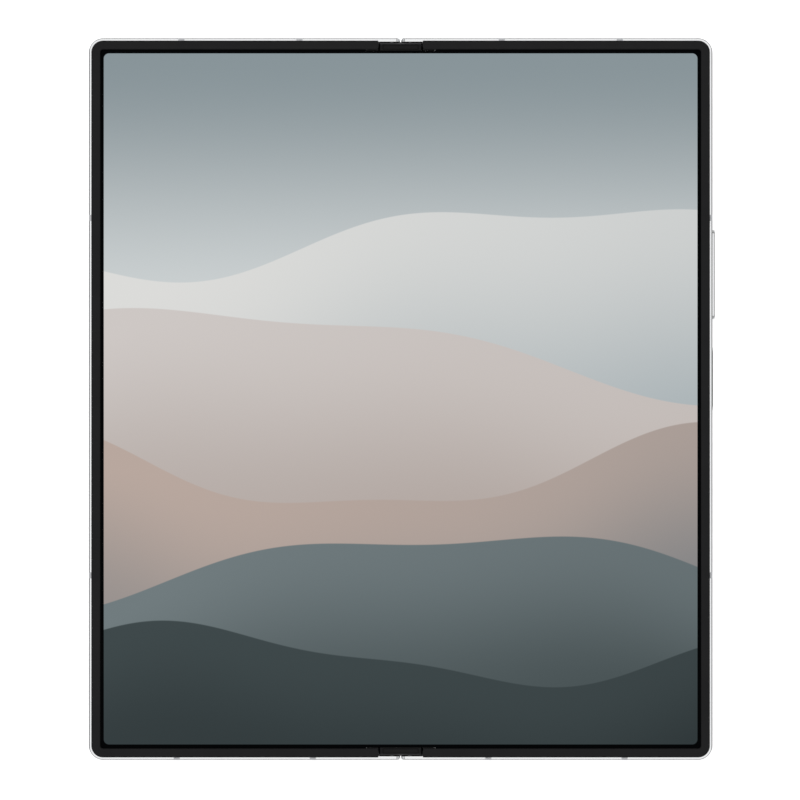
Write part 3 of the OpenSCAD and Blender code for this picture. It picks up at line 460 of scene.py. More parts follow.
def make_finishes():
    """All finishes by the record's slot names, and a few for the pieces made here."""
    return {
        "frame_metal": make_rim_metal(),
        "spine_metal": metal("Spine metal", (226, 227, 230), (0.2, 0.3), 0.06, lines=SPINE_LINES),
        "hinge_steel": metal("Ground hinge steel", (190, 191, 194), (0.25, 0.4), 0.15, lines=STEEL_LINES),
        "cap_plastic": make_cap_plastic(),
        "bezel_plastic": plastic("Soft bezel plastic", (26, 26, 27), (0.5, 0.62), 0.1, (11000.0, 4e-6), 0.14),
        "band_plastic": plastic("Antenna band plastic", (196, 197, 200), (0.4, 0.5), 0.05, (9000.0, 2e-6)),
        "key_metal": make_key_metal(),
        "seal_rubber": plastic("Seal rubber", (6, 6, 6), (0.65, 0.8), 0.2, (9000.0, 1e-6), 0.1),
        "inner_display": make_display_finish(),
        "wing_steel": metal("Wing plate steel", (185, 187, 190), (0.25, 0.38), 0.12, lines=STEEL_LINES),
        "gear_brass": metal("Machined gear brass", (205, 170, 105), (0.25, 0.38), 0.15, lines=GEAR_LINES),
        "cover_glass": make_cover_glass(),
        "cover_panel": make_cover_panel(),
        "back_glass": make_back_glass(),
        "island_metal": metal("Camera island metal", (205, 207, 211), (0.28, 0.36), 0.05, (12000.0, 2e-6)),
        "ring_metal": make_ring_metal(),
        "lens_glass": make_lens_glass(),
        "module_black": plastic("Moulded module plastic", (22, 22, 23), (0.45, 0.6), 0.3, (5000.0, 8e-6)),
        "flash_lens": make_flash_lens(),
        "battery_foil": make_battery_foil(),
        "board_green": make_board(),
        "can_steel": metal("Pressed can steel", (205, 206, 208), (0.25, 0.4), 0.1, lines=(ACROSS_FOLD, 3e-6)),
        "coil_copper": make_coil(),
        "flex_film": make_flex_film(),
        "tray_metal": metal("Tray metal", (236, 237, 239), (0.22, 0.3), 0.04, (14000.0, 4e-7), TRAY_LINES),
        "card_plastic": plastic("Card plastic", (226, 226, 222), (0.35, 0.5), 0.05, (4000.0, 3e-6)),
        "barrel_black": plastic("Ridged barrel black", (8, 8, 9), (0.35, 0.5), 0.3, (9000.0, 1e-6), 0.15),
        "mask_print": plastic("Lens mask print", (7, 7, 8), (0.2, 0.3), 0.2, (9000.0, 1e-7), 0.1),
        "front_element": make_front_element(),
        "port_steel": make_port_steel(),
        "contact_gold": metal("Contact gold", (226, 190, 120), (0.2, 0.3), 0.1, (9000.0, 1e-6)),
        "sound_cloth": make_sound_cloth(),
    }


def make_display_finish():
    """The lit inner display: picture, dark margin and a smooth film on top."""
    material, tree, shader = start_material(
        "Lit inner display", Specular_IOR_Level=0.012, Emission_Strength=1.0
    )
    inside = window(tree, (0.0, 0.02 * MM, 0.0), *PICTURE_HALF, 1.1 * MM, 0.06 * MM)["Inside"]
    front = ramp_value(axes(tree)["Z"], DISPLAY_TOP - 0.02 * MM, DISPLAY_TOP - 0.01 * MM)
    lit = times(inside, front)
    picture = effect(tree, "Hill picture")["Picture"]
    plug(shader.inputs["Emission Color"], blend_colors(lit, rgb(0, 0, 0), picture))
    paint(shader, lit, rgb(3, 4, 5), rgb(2, 2, 2))
    haze_gloss(shader, 90.0, 0.07, 0.13)
    return material


def make_rim_metal():
    """Blasted silver rim, with painted shade as a dark line on its rounded upper edge along both sides,
    and a painted dark line of shade, not metallic, on its inner edge at both ends of the hinge."""
    material = metal("Blasted rim metal", (240, 241, 242), (0.2, 0.26), 0.03, (14000.0, 4e-7))
    shader, parts, plain = reopen(material)
    across, along = (calc("ABSOLUTE", parts[axis]) for axis in ("X", "Y"))
    # Painted shade: a dark line on the rounded upper edge of both long sides
    turn = ramp_value(across, FRAME_SIDE - 0.3 * MM, FRAME_SIDE)
    upper = ramp_value(parts["Z"], RIM_TOP - 0.22 * MM, RIM_TOP - 0.16 * MM)
    rim_with_painted_edge_shade = blend_colors(times(turn, upper), plain, rgb(12, 12, 13))
    # Painted shade: a dark, not metallic line on the rim's inner edge at both ends of the hinge
    near_fold = falling(across, 4.58 * MM, 4.6 * MM)
    rise = (CAP_END, CAP_END + 0.02 * MM)
    fall = (CAP_END + 0.175 * MM, CAP_END + 0.195 * MM)
    painted_inner_shade_line = times(near_fold, between(along, rise, fall))
    paint(shader, painted_inner_shade_line, rim_with_painted_edge_shade, rgb(9, 9, 9))
    plug(shader.inputs["Metallic"], falling(painted_inner_shade_line, 0.0, 1.0))
    return material


def make_key_metal():
    """Satin metal of both keys, with painted shade as a dark line along their rounded upper edge."""
    material = metal("Key metal", (236, 237, 238), (0.2, 0.3), 0.05, lines=(ALONG_FOLD, 1e-6))
    shader, parts, plain = reopen(material)
    reach = 3 * MM
    lines = []
    for key in KEYS:
        low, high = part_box(key)
        middle = (high.x - reach, (low.y + high.y) / 2, 0.0)
        half_length = (high.y - low.y) / 2 - FLANGE_ALONG
        distance = window(shader.id_data, middle, reach, half_length, 0.1 * MM)["Distance"]
        # Painted shade along the rounded upper edge of each key cap
        edge = between(distance, (-0.14 * MM, -0.08 * MM), (0.1 * MM, 0.14 * MM))
        top = high.z - FLANGE_UP
        lines.append(times(edge, ramp_value(parts["Z"], top - 0.18 * MM, top - 0.12 * MM)))
    # Paints that shade dark on both keys
    paint(shader, merge("MAXIMUM", lines), plain, rgb(40, 41, 42))
    return material


def make_cap_plastic():
    """Dark plastic of the hinge caps, with a painted highlight on the end chamfer and painted shadow round
    their panels.
    """
    material = plastic("Cap plastic", (22, 22, 23), (0.45, 0.6), 0.15, (12000.0, 4e-6), 0.12)
    shader, parts, plain = reopen(material)
    along = calc("ABSOLUTE", parts["Y"])
    # Painted highlight: a paler band on the end chamfer
    rise = (CAP_END - 0.36 * MM, CAP_END - 0.34 * MM)
    fall = (CAP_END - 0.12 * MM, CAP_END - 0.1 * MM)
    color = blend_colors(between(along, rise, fall), plain, rgb(76, 76, 78))
    # Painted shadow: a dark outline at the edge of each raised panel
    panel_edge_shades = []
    for end in (-1, 1):
        middle = (0.0, end * (CAP_END - 0.975 * MM), 0.0)
        panel = window(shader.id_data, middle, 3.72 * MM, 0.475 * MM, 0.05 * MM)
        panel_edge_shades.append(calc("ABSOLUTE", panel["Distance"]))
    panel_edge_shade = falling(merge("MINIMUM", panel_edge_shades), 0.09 * MM, 0.12 * MM)
    paint(shader, panel_edge_shade, color, rgb(4, 4, 4))
    return material


def make_cover_glass():
    """Dark cover glass with the display off: printed margin, panel, camera spot with a pale edge ring that is
    partly a painted glint, and earpiece slit.
    """
    material, tree, shader = start_material("Dark cover glass", Coat_Weight=0.6, Coat_Roughness=0.02)
    low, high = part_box("cover_glass")
    middle = (low + high) / 2
    margin = 1.5 * MM
    half_width, half_height = (high.x - low.x) / 2 - margin, (high.y - low.y) / 2 - margin
    inside = window(tree, tuple(middle), half_width, half_height, 1.6 * MM)["Inside"]
    color = blend_colors(inside, rgb(8, 8, 9), rgb(15, 16, 19))
    radius = radius_from(tree, box_middle("cover_camera"))
    opening = falling(radius, 1.7 * MM, 1.74 * MM)
    iris = between(radius, (0.35 * MM, 0.5 * MM), (0.75 * MM, 0.95 * MM))
    # The pale ring round the opening: its edge, partly a painted glint
    rim = between(radius, (1.7 * MM, 1.76 * MM), (1.84 * MM, 1.9 * MM))
    for mask, shade in ((opening, rgb(3, 3, 4)), (iris, rgb(28, 34, 66)), (rim, rgb(76, 79, 84))):
        color = blend_colors(mask, color, shade)
    slit_middle = (middle.x, high.y - 0.55 * MM, 0.0)
    slit = window(tree, slit_middle, 5.0 * MM, 0.22 * MM, 0.2 * MM, 0.04 * MM)["Inside"]
    weave = effect(tree, "Fine grain", Scale=4200.0)["Speckle"]
    paint(shader, slit, color, blend_colors(weave, rgb(2, 2, 2), rgb(40, 41, 43)))
    gloss = ramp_value(effect(tree, "Handling haze", Scale=70.0)["Haze"], 0.0, 1.0, 0.04, 0.1)
    plug(shader.inputs["Roughness"], calc("MULTIPLY_ADD", slit, 0.5, gloss))
    bump(shader, times(slit, -1.0), 0.03 * MM)
    return material


def make_cover_panel():
    """Cover display panel behind the cover glass, dark while it is off."""
    material, tree, shader = start_material("Cover panel")
    streak = effect(tree, "Ground lines", Stretch=(9000.0, 9000.0, 50.0))["Streak"]
    paint(shader, streak, rgb(14, 15, 17), rgb(22, 23, 27))
    haze_gloss(shader, 70.0, 0.15, 0.25)
    return material


def make_back_glass():
    """Etched silver back glass: a satin surface over a fine pearl layer."""
    material, tree, shader = start_material(
        "Etched back glass", Metallic=0.35, Coat_Weight=0.35, Coat_Roughness=0.25
    )
    flakes = effect(tree, "Fine grain", Scale=7000.0)
    haze = haze_gloss(shader, 45.0, 0.36, 0.4)
    pearl = blend_colors(flakes["Speckle"], rgb(196, 199, 204), rgb(208, 211, 215))
    paint(shader, times(haze, 0.12), pearl, rgb(186, 190, 196))
    bump(shader, flakes["Height"], 3e-6)
    return material


def make_ring_metal():
    """Dark anodised lens rings with turned lines round each lens."""
    material, tree, shader = start_material("Turned dark ring", Metallic=0.85)
    waves = rings(radius_from_lenses(tree), 52000.0)
    speckle = effect(tree, "Fine grain", Scale=9000.0)["Speckle"]
    paint(shader, speckle, rgb(58, 60, 64), rgb(70, 72, 77))
    roughen(shader, waves, 0.24, 0.34, low=-1.0)
    bump(shader, waves, 1.5e-6)
    return material


def make_lens_glass():
    """Clear lens covers with a faint coating."""
    material, tree, shader = start_material(
        "Coated lens glass", Transmission_Weight=1.0, IOR=1.4, Specular_IOR_Level=0.3
    )
    haze = haze_gloss(shader, 140.0, 0.0, 0.03)
    paint(shader, haze, rgb(250, 251, 253), rgb(236, 240, 250))
    return material


def make_front_element():
    """Front elements of the cameras: dark domed glass with a violet coating."""
    material, tree, shader = start_material("Coated front element", Specular_IOR_Level=0.35)
    radius = radius_from_lenses(tree)
    pupil = blend_colors(ramp_value(radius, 0.9 * MM, 1.2 * MM), rgb(4, 4, 5), rgb(20, 22, 40))
    paint(shader, ramp_value(radius, 1.9 * MM, 2.9 * MM), pupil, rgb(16, 13, 24))
    haze_gloss(shader, 140.0, 0.02, 0.05)
    return material


def make_port_steel():
    """Steel shell of the charging port round its black contact tongue."""
    material = metal("Port steel", (200, 201, 204), (0.25, 0.38), 0.1, lines=PORT_LINES)
    shader, parts, plain = reopen(material)
    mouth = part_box("usb_port")[0].y
    side = calc("ABSOLUTE", calc("SUBTRACT", parts["X"], box_middle("usb_port").x))
    up = calc("ABSOLUTE", calc("SUBTRACT", parts["Z"], EDGE_LEVEL))
    narrow = falling(side, 3.39 * MM, 3.4 * MM)
    thin = falling(up, 0.37 * MM, 0.38 * MM)
    deep = ramp_value(parts["Y"], mouth + 0.5 * MM, mouth + 0.52 * MM)
    tongue = merge("MULTIPLY", (narrow, thin, deep))
    paint(shader, tongue, plain, rgb(18, 18, 19))
    plug(shader.inputs["Metallic"], falling(tongue, 0.0, 1.0))
    return material


def make_flash_lens():
    """Frosted flash lens with fine rings."""
    material, tree, shader = start_material("Ringed flash lens", Transmission_Weight=0.35, IOR=1.49)
    radius = radius_from(tree, box_middle("camera_flash"))
    paint(shader, ramp_value(radius, 0.0, 1.5 * MM), rgb(250, 222, 120), rgb(244, 240, 226))
    roughen(shader, effect(tree, "Fine grain", Scale=6000.0)["Speckle"], 0.12, 0.22)
    bump(shader, rings(radius, 26000.0), 1.2e-5)
    return material


def make_battery_foil():
    """Black pouch foil with soft wrinkles."""
    material, tree, shader = start_material("Battery foil", Metallic=0.3)
    point = place_of_point(tree)
    noise = add_node(tree, "TexNoise", Vector=point, Scale=180.0, Detail=5.0, Distortion=1.2)
    wrinkles = noise.outputs[0]
    haze = effect(tree, "Handling haze", Scale=60.0)["Haze"]
    paint(shader, haze, rgb(38, 38, 41), rgb(52, 52, 56))
    roughen(shader, wrinkles, 0.3, 0.5, low=0.3, high=0.7)
    bump(shader, wrinkles, 1e-4)
    return material


def make_board():
    """Solder mask with tracks and small pads."""
    material, tree, shader = start_material("Board solder mask", Coat_Weight=0.2, Coat_Roughness=0.2)
    point = place_of_point(tree)
    tracks = add_node(
        tree,
        "TexBrick",
        {"offset": 0.37, "squash": 1.4},
        Vector=point,
        Color1=rgb(14, 74, 48),
        Color2=rgb(18, 84, 55),
        Mortar=rgb(34, 112, 78),
        Scale=900.0,
        Mortar_Size=0.04,
    ).outputs
    dots = add_node(tree, "TexVoronoi", Vector=point, Scale=900.0)
    pads = falling(dots.outputs[0], 0.1, 0.14)
    paint(shader, pads, tracks["Color"], rgb(208, 176, 110))
    roughen(shader, pads, 0.42, 0.25)
    bump(shader, tracks["Fac"], 1e-5)
    return material


def make_coil():
    """Wound copper of the charging coil."""
    material, tree, shader = start_material("Coil copper", Metallic=1.0)
    strands = rings(radius_from(tree, box_middle("charging_coil")), 31000.0)
    paint(shader, ramp_value(strands, -1.0, 1.0), rgb(150, 88, 52), rgb(214, 140, 92))
    roughen(shader, strands, 0.42, 0.28, low=-1.0)
    bump(shader, strands, 3e-5)
    return material


def make_flex_film():
    """Amber film with copper tracks showing through."""
    material, tree, shader = start_material("Amber circuit film")
    lines = effect(tree, "Ground lines", Stretch=(3000.0, 40.0, 2600.0))
    paint(shader, lines["Streak"], rgb(150, 96, 30), rgb(196, 132, 52))
    roughen(shader, lines["Streak"], 0.4, 0.28)
    bump(shader, lines["Height"], 8e-6)
    return material


def make_sound_cloth():
    """Woven mesh behind the sound holes."""
    material, tree, shader = start_material("Woven sound mesh", Metallic=0.4)
    point = place_of_point(tree)
    threads = []
    for direction in ("X", "Z"):
        settings = {"wave_type": "BANDS", "bands_direction": direction}
        wave = add_node(tree, "TexWave", settings, Vector=point, Scale=2600.0)
        threads.append(wave.outputs["Fac"])
    over = calc("MAXIMUM", *threads)
    paint(shader, over, rgb(6, 6, 6), rgb(62, 63, 66))
    roughen(shader, over, 0.7, 0.4)
    bump(shader, over, 2e-5)
    return material


# Mesh helpers


def place(name, data):
    """A new object in the scene, at the origin."""
    piece = bpy.data.objects.new(name, data)
    bpy.context.scene.collection.objects.link(piece)
    return piece


def mesh_object(bm, name, material):
    """A new object made of a bmesh, at the origin."""
    mesh = bpy.data.meshes.new(name)
    bm.to_mesh(mesh)
    bm.free()
    mesh.materials.append(material)
    return place(name, mesh)


def turn_of(edge):
    """Angle in degrees between the faces of an edge."""
    return math.degrees(edge.calc_face_angle(0.0))


def settle(bm, name, body, slot, material=None, replaced=(), smooth_over=None):
    """Makes a finished object of a bmesh, at the origin, that rides on a body if one is given.
    Edges are smooth up to the angle smooth_over, in degrees."""
    bmesh.ops.remove_doubles(bm, verts=bm.verts, dist=1e-7)
    if smooth_over:
        for face in bm.faces:
            face.smooth = True
        for edge in bm.edges:
            edge.smooth = len(edge.link_faces) == 2 and turn_of(edge) < smooth_over
    piece = mesh_object(bm, name, MATERIALS[material or slot])
    if smooth_over:
        piece.modifiers.new("Even shading", "WEIGHTED_NORMAL").keep_sharp = True
    if body:
        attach(piece, body)
    if replaced:
        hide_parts(*replaced)
    return piece


def copy_of(node):
    """A welded bmesh copy of a fixed node."""
    bm = bmesh.new()
    bm.from_mesh(frame["nodes"][node].data)
    bmesh.ops.remove_doubles(bm, verts=bm.verts, dist=2e-7)
    return bm


def soften(bm, width, keep):
    """Makes flat faces whole again, then bevels the edges over 50 degrees for which keep is true."""
    bmesh.ops.dissolve_limit(
        bm,
        angle_limit=math.radians(0.5),
        verts=bm.verts,
        edges=bm.edges,
        delimit={"NORMAL"},
        use_dissolve_boundaries=False,
    )
    bmesh.ops.bevel(
        bm,
        geom=[edge for edge in bm.edges if len(edge.link_faces) == 2 and turn_of(edge) > 50 and keep(edge)],
        offset=width,
        offset_type="OFFSET",
        segments=3,
        profile=0.5,
        affect="EDGES",
        clamp_overlap=True,
        material=-1,
    )


def extrude(bm, faces, vec):
    """Extrudes faces by a vector, and gives the corners that moved."""
    made = bmesh.ops.extrude_face_region(bm, geom=faces)["geom"]
    moved = [item for item in made if isinstance(item, bmesh.types.BMVert)]
    bmesh.ops.translate(bm, vec=vec, verts=moved)
    return moved


def block(bm, first, second):
    """Adds a box between two opposite corners to a bmesh."""
    low = Vector([min(pair) for pair in zip(first, second)])
    high = Vector([max(pair) for pair in zip(first, second)])
    matrix = Matrix.Translation((low + high) / 2) @ Matrix.Diagonal((high - low).to_4d())
    return bmesh.ops.create_cube(bm, size=1.0, matrix=matrix)["verts"]


def turned(bm, profile, middle, steps=72):
    """Spins a profile round an upright line through a point: radii in millimetres, heights in metres."""
    points = [bm.verts.new((middle.x + radius * MM, middle.y, height)) for radius, height in profile]
    edges = [bm.edges.new(pair) for pair in zip(points, points[1:])]
    bmesh.ops.spin(
        bm,
        geom=points + edges,
        cent=middle,
        axis=(0, 0, 1),
        angle=2 * math.pi,
        steps=steps,
        use_merge=True,
        use_duplicate=False,
    )
    bmesh.ops.remove_doubles(bm, verts=bm.verts, dist=1e-8)


# Settings that a user would change

WIDTH = {"min": 0.0, "unit": "LENGTH", "precision": 5}


class PhoneLook(bpy.types.PropertyGroup):
    """Sizes of the small pieces that are added to the fixed frame."""

    key_softness: bpy.props.FloatProperty(
        name="Key Edge", description="Width of the rounded edge of both keys", default=0.12 * MM, **WIDTH
    )
    glass_softness: bpy.props.FloatProperty(
        name="Glass Edge", description="Width of the rounded edge of both glasses", default=0.14 * MM, **WIDTH
    )
    island_softness: bpy.props.FloatProperty(
        name="Island Edge", description="Width of the rounded edge of the island", default=0.22 * MM, **WIDTH
    )
    ring_softness: bpy.props.FloatProperty(
        name="Ring Edge", description="Width of the rounded edges of the rings", default=0.1 * MM, **WIDTH
    )
    contacts: bpy.props.IntProperty(
        name="Port Contacts", description="Contacts on each side of the tongue", default=12, min=2, max=12
    )


class StageLook(bpy.types.PropertyGroup):
    """Floor, light and camera."""

    focal_length: bpy.props.FloatProperty(
        name="Focal Length",
        description="Focal length of the camera",
        default=500.0,
        min=10.0,
        subtype="DISTANCE_CAMERA",
    )
    camera_height: bpy.props.FloatProperty(
        name="Camera Height",
        description="Height of the camera over the rim",
        default=2.362,
        min=0.1,
        unit="LENGTH",
    )
    floor_color: bpy.props.FloatVectorProperty(
        name="Floor Colour",
        description="Colour of the floor",
        default=(0.8, 0.8, 0.8),
        size=3,
        subtype="COLOR",
    )
    softbox_power: bpy.props.FloatProperty(
        name="Softbox Power", description="Power of the lamp", default=9.0, min=0.0, unit="POWER"
    )
    room_light: bpy.props.FloatProperty(
        name="Room Light", description="Strength of the even light from all round", default=0.55, min=0.0
    )


# Operators, one for each group of like pieces


class PHONE_OT_finishes(bpy.types.Operator):
    """Gives every node of the fixed frame its finish"""

    bl_idname = "phone.finishes"
    bl_label = "Apply Finishes"

    def execute(self, context):
        for maker in (
            make_fine_grain,
            make_ground_lines,
            make_handling_haze,
            make_rounded_window,
            make_round_marks,
            make_hill_picture,
        ):
            group = maker()
            GROUPS[group.name] = group
        MATERIALS.update(make_finishes())
        for node, slot in SLOTS.items():
            mesh = frame["nodes"][node].data
            mesh.materials.clear()
            mesh.materials.append(MATERIALS["port_steel" if node == "usb_port" else slot])
        return {"FINISHED"}


class PHONE_OT_fold_sheets(bpy.types.Operator):
    """Makes the display over the fold as thin sheets between the strips"""

    bl_idname = "phone.fold_sheets"
    bl_label = "Make Fold Sheets"

    def execute(self, context):
        from_fold = 0.0004 * MM
        rows = ((1, BEND_LINE_2, BEND_LINE_1, "wing"), (2, from_fold, BEND_LINE_2, "strip_1"))
        for side, sign in (("left", -1), ("right", 1)):
            for step, near, far, outer in rows:
                bodies = (f"{side}_{outer}", f"{side}_strip_{step}")
                self.sheet(f"{side}_bend_{step}", sign, near, far, bodies, f"{side}_fold_strip_{step}")
        return {"FINISHED"}

    def sheet(self, name, sign, near, far, bodies, node):
        """One sheet, thinner towards the fold."""
        bm = bmesh.new()
        middle = Matrix.Translation((sign * (near + far) / 2, 0, DISPLAY_TOP))
        matrix = middle @ Matrix.Diagonal((far - near, 2 * DISPLAY_FOLD_END, 1.0, 1.0))
        bmesh.ops.create_grid(bm, x_segments=16, y_segments=24, size=0.5, matrix=matrix)
        for vert in extrude(bm, bm.faces[:], (0, 0, STRIP_BOTTOM - DISPLAY_TOP)):
            thinner = max(0.0, 1 - abs(vert.co.x) / STRIP_END)
            vert.co.z += thinner * 0.3 * MM
        bmesh.ops.recalc_face_normals(bm, faces=bm.faces)
        piece = settle(bm, name, None, "inner_display", replaced=(node,), smooth_over=40)
        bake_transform(piece)


class PHONE_OT_soft_edges(bpy.types.Operator):
    """Rounds the small edges of keys, glasses, camera island and rings"""

    bl_idname = "phone.soft_edges"
    bl_label = "Round Small Edges"

    def execute(self, context):
        look = context.scene.phone_look
        for node, name, width, keep in (
            ("volume_rocker", "volume_cap", look.key_softness, self.stands_out),
            ("side_key", "side_cap", look.key_softness, self.stands_out),
            ("cover_glass", "cover_pane", look.glass_softness, self.faces_down),
            ("back_glass", "back_pane", look.glass_softness, self.faces_down),
            ("camera_island", "island_plate", look.island_softness, self.island_rim),
            ("camera_rings", "lens_rings", look.ring_softness, lambda edge: True),
        ):
            bm = copy_of(node)
            soften(bm, width, keep)
            settle(bm, name, BODIES[node], SLOTS[node], replaced=(node,), smooth_over=35)
        return {"FINISHED"}

    def stands_out(self, edge):
        """True for edges that stand out of the phone's side."""
        return min(vert.co.x for vert in edge.verts) > FRAME_SIDE

    def faces_down(self, edge):
        """True for edges on the face that points down."""
        return max(vert.co.z for vert in edge.verts) < BACK_FACE + 0.01 * MM

    def island_rim(self, edge):
        """True for the island's outer lower edge, away from the lens openings."""
        if max(vert.co.z for vert in edge.verts) > BACK_FACE - 0.5 * MM:
            return False
        point = (edge.verts[0].co + edge.verts[1].co) / 2
        return min(math.hypot(point.x - spot.x, point.y - spot.y) for spot in LENS_SPOTS) > 6.6 * MM


class PHONE_OT_smooth_frames(bpy.types.Operator):
    """Shades the frames, bezels, hinge and card tray smoothly over their curves"""

    bl_idname = "phone.smooth_frames"
    bl_label = "Smooth Frames"

    def execute(self, context):
        halves = [f"{side}_{part}" for part in ("frame", "bezel") for side in ("left", "right")]
        for node in (*halves, "hinge_spine", "hinge_caps", "sim_tray"):
            bm = copy_of(node)
            settle(bm, node + "_shell", BODIES[node], SLOTS[node], replaced=(node,), smooth_over=28)
        return {"FINISHED"}


class PHONE_OT_lenses(bpy.types.Operator):
    """Makes the barrels, masks and front elements behind the three rear lens covers"""

    bl_idname = "phone.lenses"
    bl_label = "Make Lenses"

    def execute(self, context):
        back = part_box("camera_lenses")[1].z
        barrels, masks, elements = bmesh.new(), bmesh.new(), bmesh.new()
        for spot, clear_radius in zip(LENS_SPOTS, (4.3, 3.9, 3.4)):
            self.barrel(barrels, spot, back, clear_radius)
            self.mask(masks, spot, back, clear_radius)
            self.element(elements, spot, back, clear_radius)
        settle(barrels, "lens_barrels", "right_half", "module_black", "barrel_black", ("camera_modules",), 30)
        settle(masks, "lens_masks", "right_half", "module_black", "mask_print", smooth_over=30)
        settle(elements, "lens_elements", "right_half", "lens_glass", "front_element", smooth_over=60)
        return {"FINISHED"}

    def barrel(self, bm, spot, back, clear_radius):
        """Stepped barrel that narrows behind the mask, closed outside by the module's walls."""
        outer = 5.6
        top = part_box("camera_modules")[1].z
        height = back + 0.03 * MM
        radius = clear_radius + 0.25
        walls = [(0.0, top), (outer, top), (outer, height)]
        steps = [(outer, height), (radius, height)]
        for _ in range(4):
            height += 0.22 * MM
            steps.append((radius, height))
            radius -= 0.28
            steps.append((radius, height))
        height += 0.5 * MM
        turned(bm, steps + [(radius, height), (0.0, height)], spot)
        turned(bm, walls, spot)

    def mask(self, bm, spot, back, clear_radius):
        """Printed black ring on the back of the lens cover."""
        outer = 6.0
        near, far = back + 0.003 * MM, back + 0.02 * MM
        ring = [(clear_radius, near), (clear_radius, far), (outer, far), (outer, near), (clear_radius, near)]
        turned(bm, ring, spot)

    def element(self, bm, spot, back, clear_radius):
        """Front element, domed towards the cover."""
        radius, dome = clear_radius - 0.35, 0.55 * MM
        base = back + 0.75 * MM
        floor = base + 0.1 * MM
        arcs = 12
        angles = [math.pi / 2 * index / arcs for index in range(arcs + 1)]
        profile = [(radius * math.cos(angle), base - dome * math.sin(angle)) for angle in angles]
        turned(bm, [(0.0, floor), (radius, floor)] + profile, spot, 48)


class PHONE_OT_key_corners(bpy.types.Operator):
    """Rounds the corners of both key openings with small pieces of the rim"""

    bl_idname = "phone.key_corners"
    bl_label = "Round Key Openings"

    def execute(self, context):
        gap = 0.1 * MM
        bm = bmesh.new()
        for key in KEYS:
            low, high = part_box(key)
            middle = (low + high) / 2
            half_length = (high.y - low.y) / 2 - FLANGE_ALONG
            half_cap = (high.z - low.z) / 2 - FLANGE_UP
            radius = half_cap - 0.05 * MM
            for along in (-1, 1):
                for up in (-1, 1):
                    y = middle.y + along * (half_length - radius)
                    z = middle.z + up * (half_cap - radius)
                    self.corner(bm, Vector((FRAME_SIDE - 0.02 * MM, y, z)), radius + gap, along, up)
        settle(bm, "key_corners", "right_half", "frame_metal", smooth_over=40)
        return {"FINISHED"}

    def corner(self, bm, centre, reach, along, up):
        """Fills the space between a square corner and a quarter circle, and gives it depth."""
        first = bm.verts.new(centre + Vector((0, along * reach, 0)))
        before = set(bm.verts)
        turn = along * up * math.pi / 2
        bmesh.ops.spin(bm, geom=[first], cent=centre, axis=(1, 0, 0), angle=turn, steps=12, use_merge=False)
        arc = [first] + [vert for vert in bm.verts if vert not in before]
        tip = bm.verts.new(centre + Vector((0, along * reach, up * reach)))
        for end in [vert for vert in arc if len(vert.link_edges) == 1]:
            bmesh.ops.contextual_create(bm, geom=[end, tip])
        outline = {edge for vert in arc for edge in vert.link_edges}
        face = bmesh.ops.edgenet_fill(bm, edges=list(outline))["faces"]
        if not face:
            raise RuntimeError("A key opening's corner could not be filled")
        extrude(bm, face, (-0.7 * MM, 0, 0))
        bmesh.ops.recalc_face_normals(bm, faces=bm.faces)


class PHONE_OT_gap_shade_fills(bpy.types.Operator):
    """Adds dark blocks that stand in for the shade in the gaps beside the fold display and at the spine's
    ends
    """

    bl_idname = "phone.seals"
    bl_label = "Make Gap Shade Fills"

    def execute(self, context):
        # Dark blocks in the gaps beside the fold display's ends, standing in for the shade there
        near_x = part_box("right_bezel")[0].x + 0.12 * MM
        far_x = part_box("right_wing_display")[1].x - 0.08 * MM
        near_y, far_y = DISPLAY_FOLD_END + 0.03 * MM, DISPLAY_FOLD_END + 0.14 * MM
        low_z, high_z = DISPLAY_TOP - 0.5 * MM, DISPLAY_TOP - 0.05 * MM
        for name, body, sign in (("left_gap_shade_fills", "left_half", -1), ("right_gap_shade_fills", "right_half", 1)):
            bm = bmesh.new()
            for end in (-1, 1):
                block(bm, (sign * near_x, end * near_y, low_z), (sign * far_x, end * far_y, high_z))
            settle(bm, name, body, "bezel_plastic", "seal_rubber")
        cap_low, cap_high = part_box("hinge_caps")
        step = cap_low.z + 2.2 * MM
        # Dark blocks in the gaps at the spine's ends, standing in for the shade there
        end_shade_fills = bmesh.new()
        for end in (-1, 1):
            near, far = end * CAP_END, end * (CAP_END + 0.06 * MM)
            block(end_shade_fills, (-4.3 * MM, near, cap_low.z + 0.7 * MM), (4.3 * MM, far, step))
            block(end_shade_fills, (-0.6 * MM, near, step), (0.6 * MM, far, cap_high.z - 0.55 * MM))
        settle(end_shade_fills, "spine_end_shade_fills", "hinge", "cap_plastic", "seal_rubber")
        return {"FINISHED"}


class PHONE_OT_port_contacts(bpy.types.Operator):
    """Adds the contacts on both sides of the charging port's tongue"""

    bl_idname = "phone.port_contacts"
    bl_label = "Make Port Contacts"

    def execute(self, context):
        count = context.scene.phone_look.contacts
        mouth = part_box("usb_port")[0].y
        middle = box_middle("usb_port").x
        pitch, half_width = 0.5 * MM, 0.13 * MM
        long_ones = (0, count - 1, count // 3, count - 1 - count // 3)
        bm = bmesh.new()
        for index in range(count):
            x = middle + (index - (count - 1) / 2) * pitch
            start = mouth + (1.45 if index in long_ones else 1.7) * MM
            for sign in (-1, 1):
                near, far = EDGE_LEVEL + sign * 0.35 * MM, EDGE_LEVEL + sign * 0.38 * MM
                block(bm, (x - half_width, start, near), (x + half_width, mouth + 5.2 * MM, far))
        settle(bm, "port_contacts", "right_half", "gear_brass", "contact_gold")
        return {"FINISHED"}


